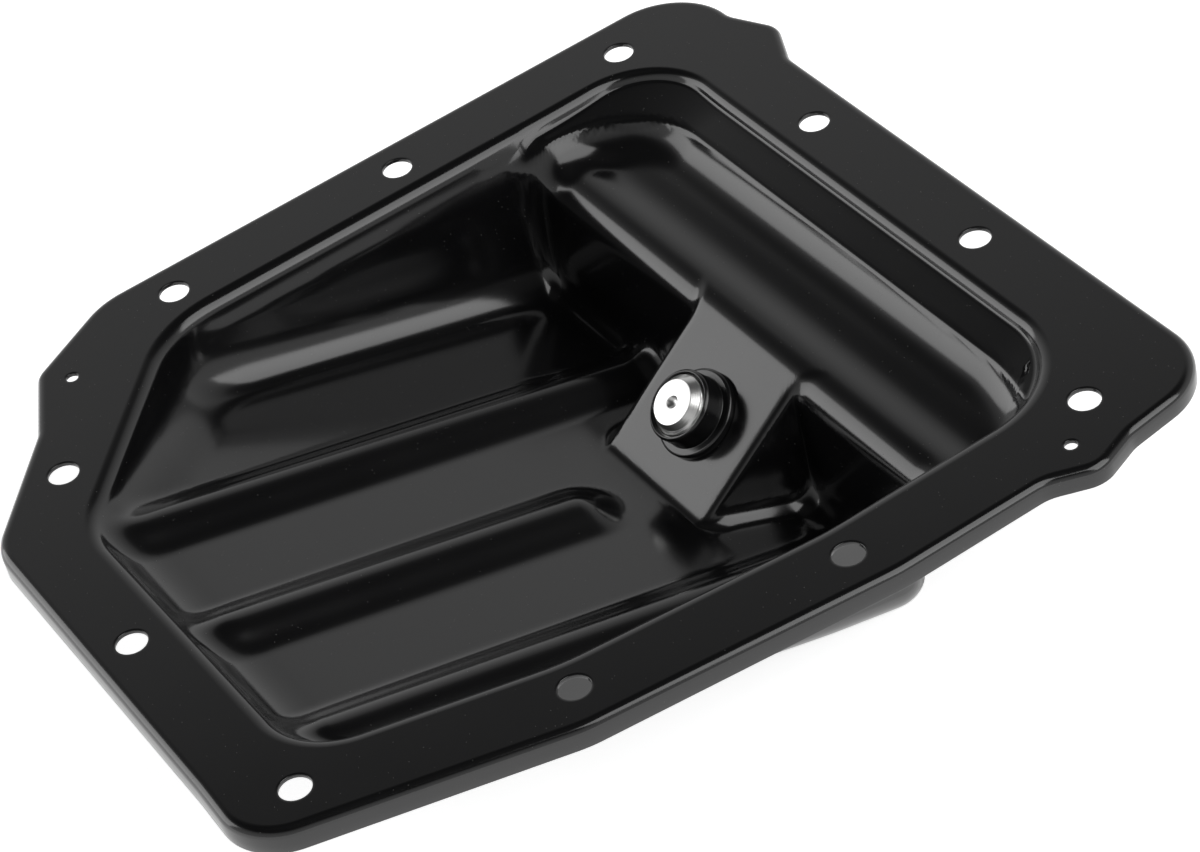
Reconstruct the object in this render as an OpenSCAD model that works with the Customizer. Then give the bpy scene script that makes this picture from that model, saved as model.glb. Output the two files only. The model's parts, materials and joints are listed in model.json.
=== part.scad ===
// Engine oil pan: a deep-drawn steel pan with a bolted flange, a sloping ribbed floor
// and a drain ramp that carries a welded nut, a drain plug and its sealing washer.
// The flange's mating face is the plane Z = 0 and the bowl hangs below it.
// The shallow end is at -X, the drain end at +X.

/* [Flange] */
// Length of the flange between its left and right edges
flange_len = 222; // [216:1:234]
// Width of the flange between its far and near edges
flange_wid = 206; // [200:1:216]
// Width of the flat flange from its edge to the bowl
flange_w = 18.6; // [17.6:0.1:20]
// Thickness of the steel sheet
sheet_t = 1; // [0.8:0.1:1.2]
// Outer radius where the flange turns down into the lip
bend_r = 2; // [1.8:0.1:2.8]
// Height of the lip at the shallow end
lip_h_shallow = 6; // [5:0.1:9]
// Height of the lip at the drain end
lip_h_drain = 4.8; // [4:0.1:8]
// Reach of the lug beside the near locating hole
lug_out = 4.9; // [3:0.1:7]
// Reach of the bump on the right edge
bump_out = 5.5; // [3:0.1:8]

/* [Holes] */
// Diameter of the bolt holes
bolt_d = 7; // [5:0.1:8]
// Distance of the bolt holes from the flange's edge
bolt_in = 10.7; // [9.5:0.1:11.5]
// Diameter of the two locating holes
locator_d = 2.8; // [2:0.1:4]

/* [Bowl] */
// Lean of the drawn walls, in degrees
draft = 7; // [5:0.5:9]
// Radius where the flange turns down into the bowl
rim_r = 3.5; // [2.8:0.1:4.2]
// Radius at the foot of the far and left walls
foot_r = 11.5; // [9:0.5:13]
// Radius at the foot of the near wall
near_foot_r = 5; // [4:0.5:8]
// Depth of the floor at the foot of the shallow end's wall
shallow_depth = 8.8; // [8:0.1:10]
// Slope of the floor towards the drain, in degrees
floor_slope = 14.5; // [12:0.5:16]

/* [Ribs] */
// Height of the raised ribs
rib_h = 3.8; // [2:0.1:4]
// Width of a rib
rib_w = 18.5; // [14:0.5:20]
// Distance from rib to rib
rib_pitch = 42.5; // [40:0.5:44]
// Distance from the flange's middle to the middle rib
rib_mid = -7.5; // [-9:0.1:-6]

/* [Shelf] */
// Depth of the shelf beside the sump
shelf_depth = 10.1; // [9:0.1:11]
// Distance from the bowl's right edge to the shelf's edge
shelf_len = 34.9; // [33:0.1:37]
// Radius of the shelf's rounded edge
shelf_r = 7.5; // [6:0.1:8.5]
// Depth of the trough along the shelf, beside the sump
trough_depth = 0.9; // [0.5:0.1:1.2]
// Width of that trough
trough_w = 15; // [13:0.5:17]
// Depth of the narrow ledge round the shelf, at its edge
ledge_depth = 3.6; // [3.2:0.1:4]
// Slope of the ledge away from the wall, in degrees
ledge_slope = 6.6; // [4:0.2:8]
// Width of the ledge at the bowl's right edge
ledge_w = 10.8; // [10:0.1:12]
// Width of the ledge at the bowl's far edge
ledge_far_w = 6.3; // [5.6:0.1:7]
// Radius of the hollow between shelf and ledge
ledge_r = 9.9; // [8:0.1:10.5]

/* [Drain ramp] */
// Width of the ramp's flat face
ramp_w = 40; // [36:0.5:42]
// Angle of the ramp, in degrees
ramp_angle = 36.8; // [35:0.2:39]
// Radius of the ramp's edges
ramp_r = 2; // [1.6:0.1:3]
// Plan radius of the corners between the ramp's sides and the shelf's wall
ramp_corner_r = 9; // [7:0.5:11]
// Diameter of the drain hole in the sheet
drain_hole_d = 15; // [14.6:0.1:16]
// Distance of the drain below the middle of the ramp's face, along it
drain_low = 1.8; // [0:0.1:3]

/* [Drain nut and plug] */
// Diameter of the plug's thread
thread_d = 14; // [13:0.1:14.2]
// Clearance round the thread
thread_gap = 0.05; // [0.03:0.01:0.1]
// Diameter of the nut's welded base
nut_base_d = 20.7; // [19:0.1:24]
// Height of the nut's base
nut_base_h = 1.9; // [1.5:0.1:4]
// Diameter of the nut's collar
nut_collar_d = 16.7; // [16:0.1:18]
// Height of the whole nut
nut_h = 7.3; // [6:0.1:9]
// Diameter of the plug's chamfered end
plug_end_d = 11.2; // [9:0.1:12]
// Reach of the plug's end past the nut's mouth
plug_end_out = 1.8; // [1:0.1:2.6]
// Width of the plug's hexagon across its flats
plug_hex = 19; // [17:0.5:22]
// Height of the plug's hexagon
plug_hex_h = 7; // [5:0.5:9]
// Diameter of the plug's seating collar
plug_collar_d = 24; // [23:0.5:27]
// Height of the plug's seating collar
plug_collar_h = 2; // [1.5:0.1:3]
// Outer diameter of the sealing washer
gasket_d = 22; // [20:0.5:23]
// Thickness of the sealing washer
gasket_t = 1.5; // [1:0.1:2.5]

/* [Hidden] */

// Edges of the flange
left = -flange_len / 2;
right = flange_len / 2;
far = flange_wid / 2;
near = -flange_wid / 2;

// Edges of the bowl, where the flange starts to turn down
rim_left = left + flange_w;
rim_right = right - flange_w;
rim_far = far - flange_w + 0.5;
rim_near = near + flange_w;

// Corners of the flange as [x, y, radius], counter-clockwise from the near left corner
lug_x = 74;
bump_y = 70.4;
bump_half = 12.5;
outline_corners = [
    [left, near + 29, 15],
    [-43.6, near + 8.4, 30],
    [lug_x - 46.8, near + 0.1, 40],
    [lug_x - 10.8, near, 10],
    [lug_x, near - lug_out, 8],
    [lug_x + 10.8, near - 0.6, 10],
    [right, near + 2.8, 17],
    [right, bump_y - bump_half, 8],
    [right + bump_out, bump_y, 6],
    [right, bump_y + bump_half, 8],
    [right, far, 18],
    [left + 59, far, 20],
    [left + 36, far - 12.8, 6],
    [left + 26.7, far - 31.4, 8],
    [left + 2.2, far - 59.6, 16],
    [left + 1, near + 51.4, 60],
];

// Corners of the bowl, side by side: each side starts and ends half way round a corner
corner_near_left = [rim_left, near + 42.3, 20];
corner_near_right = [rim_right, rim_near, 27];
corner_far_right = [rim_right, rim_far, 20.5];
far_left_y = far - 67.8;
far_mid_x = left + 65.4;
corner_far_left = [rim_left, far_left_y, 25];
near_side = [corner_near_left, [-37.7, near + 25.7, 60], [22.3, rim_near + 0.2, 60], corner_near_right];
right_side = [corner_near_right, corner_far_right];
corner_far_mid = [far_mid_x, rim_far, 30];
far_side = [corner_far_right, corner_far_mid];
left_side = [corner_far_mid, corner_far_left, corner_near_left];

// Bolt holes, counter-clockwise from the far right one, and the two locating holes
bolt_holes = [
    [right - 27.1, far - bolt_in - 2],
    [23, far - bolt_in + 0.3],
    [-37.6, far - bolt_in + 0.1],
    [left + 25, far - 48.6],
    [left + bolt_in + 0.3, -5.2],
    [left + 15.9, near + 35.9],
    [-39.3, near + bolt_in + 8.8],
    [22.1, near + bolt_in + 0.9],
    [right - 26.9, near + bolt_in + 3.6],
    [right - bolt_in, -29.2],
    [right - bolt_in - 0.1, 32.2],
];
locator_holes = [[left + 41.7, far - 20.1], [lug_x - 0.5, near + 5.2]];

// Ribs: the outer two run the whole length, the middle one ends before the ramp
rib_half = rib_w / 2;
rib_lines = [rib_mid - rib_pitch, rib_mid, rib_mid + rib_pitch];

// Floor, shelf and ramp
floor_foot_x = rim_left + 13.5;
shelf_x = rim_right - shelf_len;
shelf_foot_r = 8;
sump_far_r = 10;
sump_near_r = 18;
sump_end_gap = 2.5;
ledge_edge_r = 1.4;
ledge_corner_r = 24.9;
ledge_x = rim_right - ledge_w;
ledge_y = rim_far - ledge_far_w;
ledge_rise = tan(ledge_slope);
trough_x = shelf_x + trough_w / 2;
ledge_near_y = near + 45;
ledge_near_bend = 0.009;
ramp_top_x = shelf_x - 3.4;
ramp_top_r = 8;
ramp_foot_r = 6;
ramp_side_draft = 12;
floor_rise = tan(floor_slope);
ramp_rise = tan(ramp_angle);
ramp_foot_x = (shelf_depth - shallow_depth + ramp_top_x * ramp_rise + floor_foot_x * floor_rise)
    / (ramp_rise + floor_rise);
rib_end_x = ramp_foot_x - 8;

// Drain: a little below the middle of the ramp, with its axis square to the ramp's face
drain_x = (ramp_top_x + ramp_foot_x) / 2 - drain_low * cos(ramp_angle);
drain_at = [drain_x, rib_mid, -shelf_depth - (ramp_top_x - drain_x) * ramp_rise];
mouth_chamfer = 0.6;

function unit(v) = v / norm(v);
function flat2(v) = [v.x, v.y];
function spread(a, b, count) = [for (k = [0:count - 1]) a + (b - a) * k / count];

// Depth at a distance s past the start of a rounded step that goes down from top to bottom:
// an edge of radius r_edge, a leaning wall and a foot of radius r_foot
function step_angle(drop, radii, lean) = min(90 - lean, acos(max(-1, 1 - drop / radii)));
function step_width(drop, r_edge, r_foot, lean) =
    let (radii = r_edge + r_foot, turn = step_angle(drop, radii, lean))
    radii * sin(turn) + max(0, drop - radii * (1 - cos(turn))) / tan(turn);
function step(s, top, bottom, r_edge, r_foot, lean) =
    let (drop = bottom - top)
    drop < 0.01 ? bottom :
    s <= 0 ? top :
    let (
        turn = step_angle(drop, r_edge + r_foot, lean),
        foot_s = step_width(drop, r_edge, r_foot, lean) - s
    )
    foot_s <= 0 ? bottom :
    s < r_edge * sin(turn) ? top + r_edge - sqrt(r_edge * r_edge - s * s) :
    foot_s < r_foot * sin(turn) ? bottom - r_foot + sqrt(r_foot * r_foot - foot_s * foot_s) :
    top + r_edge * (1 - cos(turn)) + (s - r_edge * sin(turn)) * tan(turn);

// Rounded rib section: 1 on the crest, 0 at half the rib's width
function rib_section(u) = u >= 1 ? 0 : (1 + cos(180 * u)) / 2;
function rib_reach(x, y, line) =
    line == rib_mid ? norm([max(0, x - rib_end_x + rib_half), y - line]) : abs(y - line);
function ribs(x, y) =
    max([for (line = rib_lines) rib_section(rib_reach(x, y, line) / rib_half)]) * rib_h;
function floor_depth(x, y) = shallow_depth + (x - floor_foot_x) * floor_rise - ribs(x, y);

// Distance inside the ledge's edge, which turns a round corner at the far right
function ledge_inset(x, y) =
    let (
        near_bend = ledge_near_bend * pow(max(0, ledge_near_y - y), 2),
        side = ledge_x - near_bend - x
    )
    round_corner(side, ledge_y - y, ledge_corner_r);
function trough(x) = trough_depth * rib_section(abs(x - trough_x) * 2 / trough_w);
function shelf_top(x, y) =
    let (inset = ledge_inset(x, y))
    step(inset, ledge_depth + min(0, inset) * ledge_rise, shelf_depth + trough(x),
        ledge_edge_r, ledge_r, draft);
function round_corner(side, end, radius) =
    side < radius && end < radius ? radius - norm([radius - side, radius - end]) : min(side, end);
function sump_inset(x, y) = min(
    round_corner(shelf_x - x, rim_far + sump_end_gap - y, sump_far_r),
    round_corner(shelf_x - x, y - rim_near + sump_end_gap, sump_near_r)
);
function ramp_top(x, y) =
    step(ramp_top_x + ramp_top_r * tan(ramp_angle / 2) - x, shelf_top(x, y), floor_depth(x, y),
        ramp_top_r, ramp_foot_r, 90 - ramp_angle);

// Depth of the drawn bowl away from its outer walls: the pockets beside the ramp turn a round
// corner in plan from the ramp's side to the shelf's wall
function pocket_depth(x, y) =
    step(sump_inset(x, y), shelf_top(x, y), floor_depth(x, y), shelf_r, shelf_foot_r, draft);
function bowl_depth(p) =
    let (beside_ramp = abs(p.y - rib_mid) - ramp_w / 2 + ramp_r)
    step(round_corner(shelf_x - p.x, beside_ramp, ramp_corner_r), ramp_top(p.x, p.y),
        pocket_depth(p.x, p.y), ramp_r, ramp_foot_r, ramp_side_draft);

// The outer wall under one point of the rim: its radii shrink where the bowl is shallow, but not
// at the left wall, whose inward direction is +X, and the near wall has a tighter foot
shallow_foot_share = 0.37;
function wall_edge_r(depth) = min(rim_r, depth);
function wall_foot_r(depth, inward) =
    let (
        full = foot_r - (foot_r - near_foot_r) * max(0, inward.y),
        steep = depth / (1 - sin(draft)) - wall_edge_r(depth),
        tight = min(full, max(depth * shallow_foot_share, steep))
    )
    tight + (full - tight) * max(0, inward.x);
function wall_width(depth, inward) =
    step_width(depth, wall_edge_r(depth), wall_foot_r(depth, inward), draft);
function wall_depth(s, depth, inward) =
    step(s, 0, depth, wall_edge_r(depth), wall_foot_r(depth, inward), draft);

// Points [x, y, inward x, inward y] round one corner, from its first tangent to its second
function corner_arc(before, at, after, step_angle) =
    let (
        back = unit(flat2(before) - flat2(at)),
        ahead = unit(flat2(after) - flat2(at)),
        half = acos(back * ahead) / 2,
        centre = flat2(at) + unit(back + ahead) * at[2] / sin(half),
        side = sign(back.x * ahead.y - back.y * ahead.x),
        start = flat2(at) + back * at[2] / tan(half) - centre,
        sweep = (180 - 2 * half) * -side,
        count = 2 * ceil((180 - 2 * half) / step_angle / 2)
    )
    [for (k = [0:count])
        let (a = atan2(start.y, start.x) + sweep * k / count)
        [centre.x + at[2] * cos(a), centre.y + at[2] * sin(a), side * cos(a), side * sin(a)]];
function closed_outline(corners, step_angle) =
    let (n = len(corners))
    [for (k = [0:n - 1]) each
        corner_arc(corners[(k + n - 1) % n], corners[k], corners[(k + 1) % n], step_angle)];

// One side of the rim as fine points, with half of the corner at each of its ends
fine_step = 3;
function side_points(before, corners, after) =
    let (
        n = len(corners),
        first = corner_arc(before, corners[0], corners[1], fine_step),
        last = corner_arc(corners[n - 2], corners[n - 1], after, fine_step),
        first_half = (len(first) - 1) / 2,
        last_half = (len(last) - 1) / 2
    )
    concat(
        [for (k = [first_half:len(first) - 1]) first[k]],
        [for (c = [1:1:n - 2]) each corner_arc(corners[c - 1], corners[c], corners[c + 1], fine_step)],
        [for (k = [0:last_half]) last[k]]
    );

// The same points no more than fine_gap apart, each with the foot of the wall below it added:
// [x, y, inward x, inward y, foot x, foot y]
fine_gap = 3;
function inward_of(p) = unit([p[2], p[3]]);
function foot_depth(p) =
    let (
        inward = inward_of(p),
        guess = bowl_depth(flat2(p) + inward * foot_r * 0.8)
    )
    bowl_depth(flat2(p) + inward * wall_width(guess, inward));
function with_foot(p) =
    let (inward = inward_of(p), foot = flat2(p) + inward * wall_width(foot_depth(p), inward))
    concat([p[0], p[1], inward.x, inward.y], foot);
function with_feet(points) =
    concat(
        [for (k = [0:len(points) - 2]) each
            let (count = ceil(norm(flat2(points[k + 1]) - flat2(points[k])) / fine_gap))
            [for (m = [0:count - 1]) with_foot(points[k] + (points[k + 1] - points[k]) * m / count)]],
        [with_foot(points[len(points) - 1])]
    );
near_points = with_feet(side_points(corner_far_left, near_side, corner_far_right));
right_points = with_feet(side_points(near_side[2], right_side, corner_far_mid));
far_points = with_feet(side_points(corner_near_right, far_side, corner_far_left));
left_points = with_feet(side_points(corner_far_right, left_side, near_side[1]));

// Rim stations of a side whose feet lie at the wanted values of x (key 4) or y (key 5)
function column(points, key, value) = [for (p = points) [p[key], p[value]]];
function at_feet(points, key, values) =
    let (tables = [for (value = [0:3]) column(points, key, value)])
    [for (v = values) [for (table = tables) lookup(v, table)]];

// Lines of the mesh across the bowl, closer together where the sheet bends
x_inner = concat(
    spread(floor_foot_x + 4, rib_end_x - rib_half, 9),
    spread(rib_end_x - rib_half, rib_end_x, 2),
    spread(rib_end_x, ramp_foot_x, 1),
    spread(ramp_foot_x, shelf_x - 17.5, 4),
    spread(shelf_x - 17.5, shelf_x - 9.4, 4),
    spread(shelf_x - 9.4, shelf_x - shelf_r, 1),
    spread(shelf_x - shelf_r, shelf_x, 4),
    spread(shelf_x, ledge_x - ledge_r, 4),
    spread(ledge_x - ledge_r, ledge_x, 5),
    [ledge_x]
);
rib_rows = [for (line = rib_lines) [for (u = [-1:0.4:1]) line + u * rib_half]];
ramp_rows = [0, 1.5, 3, 5, 8];
y_inner = concat(
    [rim_near + 17],
    rib_rows[0],
    [for (k = [4:-1:0]) rib_mid - ramp_w / 2 + ramp_r - ramp_rows[k]],
    rib_rows[1],
    [for (k = [0:4]) rib_mid + ramp_w / 2 - ramp_r + ramp_rows[k]],
    rib_rows[2],
    spread(rib_rows[2][5] + 6, rim_far - 18, 3)
);
grid_x = concat([floor_foot_x - 3], x_inner, [rim_right - 3.5]);
grid_y = concat([rim_near + 9], y_inner, [rim_far - 11]);
cols = len(grid_x) - 1;
rows = len(grid_y) - 1;

// A line gives way to a moved end over a stretch a little longer than twice the move
function fade(distance, moved) = max(0, 1 - distance / (8 + 2 * norm(moved)));
function give_way(v, ends, moved_to) =
    v + fade(v - ends[0], [moved_to[0] - ends[0], 0]) * (moved_to[0] - ends[0])
        + fade(ends[1] - v, [moved_to[1] - ends[1], 0]) * (moved_to[1] - ends[1]);
function foot_of(p) = [p[4], p[5]];
near_left_foot = foot_of(near_points[0]);
near_right_foot = foot_of(right_points[0]);
far_right_foot = foot_of(far_points[0]);
far_left_foot = foot_of(left_points[0]);
function side_values(lines, moved_to, order) =
    [for (k = order) give_way(lines[k], [lines[0], lines[len(lines) - 1]], moved_to)];
stations = concat(
    [near_points[0]],
    at_feet(near_points, 4, side_values(grid_x, [near_left_foot.x, near_right_foot.x], [1:cols - 1])),
    [right_points[0]],
    at_feet(right_points, 5, side_values(grid_y, [near_right_foot.y, far_right_foot.y], [1:rows - 1])),
    [far_points[0]],
    at_feet(far_points, 4, side_values(grid_x, [far_left_foot.x, far_right_foot.x], [cols - 1:-1:1])),
    [left_points[0]],
    at_feet(left_points, 5, side_values(grid_y, [near_left_foot.y, far_left_foot.y], [rows - 1:-1:1]))
);
station_count = len(stations);

// Rings of the outer wall: insets from the rim that follow the edge radius, the wall and the foot
rim_turns = [0, 0.33, 0.67, 1];
foot_turns = [1, 0.7, 0.45, 0.2, 0];
function ring_insets(depth, inward) =
    let (
        edge = wall_edge_r(depth),
        foot = wall_foot_r(depth, inward),
        turn = step_angle(depth, edge + foot, draft),
        width = wall_width(depth, inward)
    )
    concat([for (k = rim_turns) edge * sin(turn * k)], [for (k = foot_turns) width - foot * sin(turn * k)]);
ring_count = len(rim_turns) + len(foot_turns);
station_insets = [for (p = stations) ring_insets(foot_depth(p), inward_of(p))];

// Surface points [x, y, z, nx, ny, nz] with their upward normals
probe = 0.02;
function facing(x, y, z, slope_x, slope_y) = concat([x, y, z], unit([slope_x, slope_y, 1]));
function wall_point(p, inward, s) =
    let (
        depth = function (dx, dy)
            wall_depth(s + inward.x * dx + inward.y * dy, bowl_depth([p.x + dx, p.y + dy]), inward)
    )
    facing(p.x, p.y, -depth(0, 0), (depth(probe, 0) - depth(-probe, 0)) / (2 * probe),
        (depth(0, probe) - depth(0, -probe)) / (2 * probe));
function bowl_point(p) =
    facing(p.x, p.y, -bowl_depth(p),
        (bowl_depth(p + [probe, 0]) - bowl_depth(p - [probe, 0])) / (2 * probe),
        (bowl_depth(p + [0, probe]) - bowl_depth(p - [0, probe])) / (2 * probe));
rings = [for (r = [0:ring_count - 1]) each [for (k = [0:station_count - 1])
    let (inward = inward_of(stations[k]), s = station_insets[k][r])
    wall_point(flat2(stations[k]) + inward * s, inward, r == 0 ? -probe : s)]];

// Grid across the bowl: straight lines that give way to the foot of the walls near the edges
foot_start = (ring_count - 1) * station_count;
function foot_index(i, j) =
    j == 0 ? i :
    i == cols ? cols + j :
    j == rows ? 2 * cols + rows - i :
    (2 * cols + 2 * rows - j) % station_count;
function foot_xy(i, j) = flat2(rings[foot_start + foot_index(i, j)]);
function row_xy(i, j) =
    let (
        at = [grid_x[i], grid_y[j]],
        left_give = foot_xy(0, j) - [grid_x[0], grid_y[j]],
        right_give = foot_xy(cols, j) - [grid_x[cols], grid_y[j]]
    )
    at + fade(at.x - grid_x[0], left_give) * left_give + fade(grid_x[cols] - at.x, right_give) * right_give;
function grid_xy(i, j) =
    let (
        near_give = foot_xy(i, 0) - row_xy(i, 0),
        far_give = foot_xy(i, rows) - row_xy(i, rows)
    )
    row_xy(i, j) + fade(grid_y[j] - grid_y[0], near_give) * near_give
        + fade(grid_y[rows] - grid_y[j], far_give) * far_give;
grid = [for (j = [1:rows - 1]) each [for (i = [1:cols - 1]) bowl_point(grid_xy(i, j))]];
grid_start = ring_count * station_count;
function grid_index(i, j) =
    i == 0 || j == 0 || i == cols || j == rows
        ? foot_start + foot_index(i, j)
        : grid_start + (j - 1) * (cols - 1) + i - 1;

// The lip: rings [inset from the outline, depth, outward share, upward share] round the bend
lip_start = grid_start + len(grid);
start_turn = atan2(stations[0][1], stations[0][0]);
function turn_of(p) = (atan2(p[1], p[0]) - start_turn + 720) % 360;
outline_raw = closed_outline(outline_corners, 20);
outline_first = [for (k = [0:len(outline_raw) - 1])
    if (turn_of(outline_raw[k]) < turn_of(outline_raw[(k + len(outline_raw) - 1) % len(outline_raw)])) k][0];
outline = [for (k = [0:len(outline_raw) - 1]) outline_raw[(k + outline_first) % len(outline_raw)]];
outline_count = len(outline);
function lip_height(x) = lip_h_shallow + (lip_h_drain - lip_h_shallow) * (x - left) / flange_len;
lip_rings = [for (turn = [0, 45, 90]) [bend_r * (1 - sin(turn)), bend_r * (1 - cos(turn)), turn]];
function lip_point(p, inset, depth, turn) =
    let (inward = inward_of(p), at = flat2(p) + inward * inset)
    [at.x, at.y, -depth, -inward.x * sin(turn), -inward.y * sin(turn), cos(turn)];
lip = concat(
    [for (ring = lip_rings) each [for (p = outline) lip_point(p, ring[0], ring[1], ring[2])]],
    [for (p = outline) lip_point(p, 0, lip_height(p[0]), 90)]
);
lip_ring_count = len(lip_rings) + 1;

// The flat flange joins the first wall ring to the first lip ring by their turn round the middle
station_turns = concat([for (k = [0:station_count - 1]) k == 0 ? 0 : turn_of(stations[k])], [360]);
outline_turns = concat([for (p = outline) turn_of(p)], [360 + turn_of(outline[0])]);
function flange_faces(i = 0, j = 0) =
    i == station_count && j == outline_count ? [] :
    let (
        inner_next = j == outline_count || (i < station_count && station_turns[i + 1] <= outline_turns[j + 1]),
        inner = i % station_count,
        outer = lip_start + j % outline_count
    )
    concat(
        [inner_next
            ? [inner, outer, (i + 1) % station_count]
            : [inner, outer, lip_start + (j + 1) % outline_count]],
        inner_next ? flange_faces(i + 1, j) : flange_faces(i, j + 1)
    );

// Faces, counter-clockwise from above
function quad(a, b, c, d) = [[a, b, c], [a, c, d]];
function band_faces(start, count, ring, outer_first) = [for (k = [0:count - 1]) each
    let (a = start + ring * count + k, b = start + ring * count + (k + 1) % count)
    outer_first ? quad(a, b, b + count, a + count) : quad(a, a + count, b + count, b)];
upper_points = concat(rings, grid, lip);
upper_faces = concat(
    [for (r = [0:ring_count - 2]) each band_faces(0, station_count, r, true)],
    [for (j = [0:rows - 1], i = [0:cols - 1]) each
        quad(grid_index(i, j), grid_index(i + 1, j), grid_index(i + 1, j + 1), grid_index(i, j + 1))],
    flange_faces(),
    [for (r = [0:lip_ring_count - 2]) each band_faces(lip_start, outline_count, r, false)]
);
upper_count = len(upper_points);
last_ring = lip_start + (lip_ring_count - 1) * outline_count;
function under(p) = [p[0] - p[3] * sheet_t, p[1] - p[4] * sheet_t, p[2] - p[5] * sheet_t];
sheet_points = concat([for (p = upper_points) [p[0], p[1], p[2]]], [for (p = upper_points) under(p)]);
sheet_faces = concat(
    [for (f = upper_faces) [f[0], f[2], f[1]]],
    [for (f = upper_faces) [f[0] + upper_count, f[1] + upper_count, f[2] + upper_count]],
    [for (k = [0:outline_count - 1]) each
        let (a = last_ring + k, b = last_ring + (k + 1) % outline_count)
        quad(a, b, b + upper_count, a + upper_count)]
);

module hole(d, at = [0, 0, 0]) {
    translate([at.x, at.y, at.z - 2 * sheet_t])
        cylinder(h = 4 * sheet_t, d = d, $fn = 48);
}

module at_drain() {
    translate(drain_at)
        rotate([0, -ramp_angle, 0])
            children();
}

// One sheet: flange, lip, drawn bowl with its ribs, ledge, shelf and ramp, and all its holes
module pan() {
    color([0.12, 0.12, 0.13])
        difference() {
            polyhedron(points = sheet_points, faces = sheet_faces, convexity = 12);
            for (at = bolt_holes)
                hole(bolt_d, [at.x, at.y, 0]);
            for (at = locator_holes)
                hole(locator_d, [at.x, at.y, 0]);
            at_drain()
                hole(drain_hole_d);
        }
}

// Weld nut on the ramp's inner face, with a chamfered collar
module drain_nut() {
    color([0.1, 0.1, 0.11])
        at_drain()
            rotate_extrude($fn = 96)
                polygon([
                    [thread_d / 2, 0],
                    [nut_base_d / 2, 0],
                    [nut_base_d / 2, nut_base_h - mouth_chamfer],
                    [nut_base_d / 2 - mouth_chamfer, nut_base_h],
                    [nut_collar_d / 2, nut_base_h],
                    [nut_collar_d / 2, nut_h - mouth_chamfer],
                    [nut_collar_d / 2 - mouth_chamfer, nut_h],
                    [thread_d / 2 + mouth_chamfer, nut_h],
                    [thread_d / 2, nut_h - mouth_chamfer],
                ]);
}

// Drain plug, screwed in from below: hexagon, seating collar, thread and centre-drilled end
thread_r = thread_d / 2 - thread_gap;
seat_z = -sheet_t - gasket_t;
plug_end_z = nut_h + plug_end_out;
centre_hole_r = 1.6;
module drain_plug() {
    color([0.78, 0.78, 0.76])
        at_drain()
            difference() {
                union() {
                    rotate_extrude($fn = 96)
                        polygon([
                            [0, seat_z - plug_collar_h],
                            [plug_collar_d / 2, seat_z - plug_collar_h],
                            [plug_collar_d / 2, seat_z],
                            [thread_r, seat_z],
                            [thread_r, plug_end_z - thread_r + plug_end_d / 2],
                            [plug_end_d / 2, plug_end_z],
                            [0, plug_end_z],
                        ]);
                    intersection() {
                        translate([0, 0, seat_z - plug_collar_h - plug_hex_h])
                            cylinder(h = plug_hex_h, d = plug_hex / cos(30), $fn = 6);
                        translate([0, 0, seat_z - plug_collar_h - plug_hex_h])
                            cylinder(h = plug_hex_h, d1 = plug_hex, d2 = plug_hex + 4 * plug_hex_h, $fn = 96);
                    }
                }
                translate([0, 0, plug_end_z])
                    cylinder(h = 2 * centre_hole_r, r1 = 0, r2 = 2 * centre_hole_r, center = true, $fn = 48);
            }
}

// Flat sealing washer between the sheet and the plug's collar
module drain_gasket() {
    color([0.75, 0.75, 0.76])
        at_drain()
            translate([0, 0, seat_z])
                difference() {
                    cylinder(h = gasket_t, d = gasket_d, $fn = 96);
                    translate([0, 0, -gasket_t])
                        cylinder(h = 3 * gasket_t, d = thread_d + 0.2, $fn = 96);
                }
}

pan();
drain_nut();
drain_plug();
drain_gasket();
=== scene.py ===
# %% [markdown]
# An engine oil pan is one sheet of steel, drawn in a press into a shallow tray with a deep end,
# painted black and closed with a drain plug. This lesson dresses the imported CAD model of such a
# pan: the CAD gives the frame, the sizes and the collision, and Blender gives the fine surface,
# the paint, the zinc and the light. The frame is loaded first, because every piece rides on it.

# %% The frame and the CAD model's box
import json
import math

import bmesh
import bpy
import numpy as np
from mathutils import Euler, Matrix, Vector
from mathutils.geometry import delaunay_2d_cdt

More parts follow.
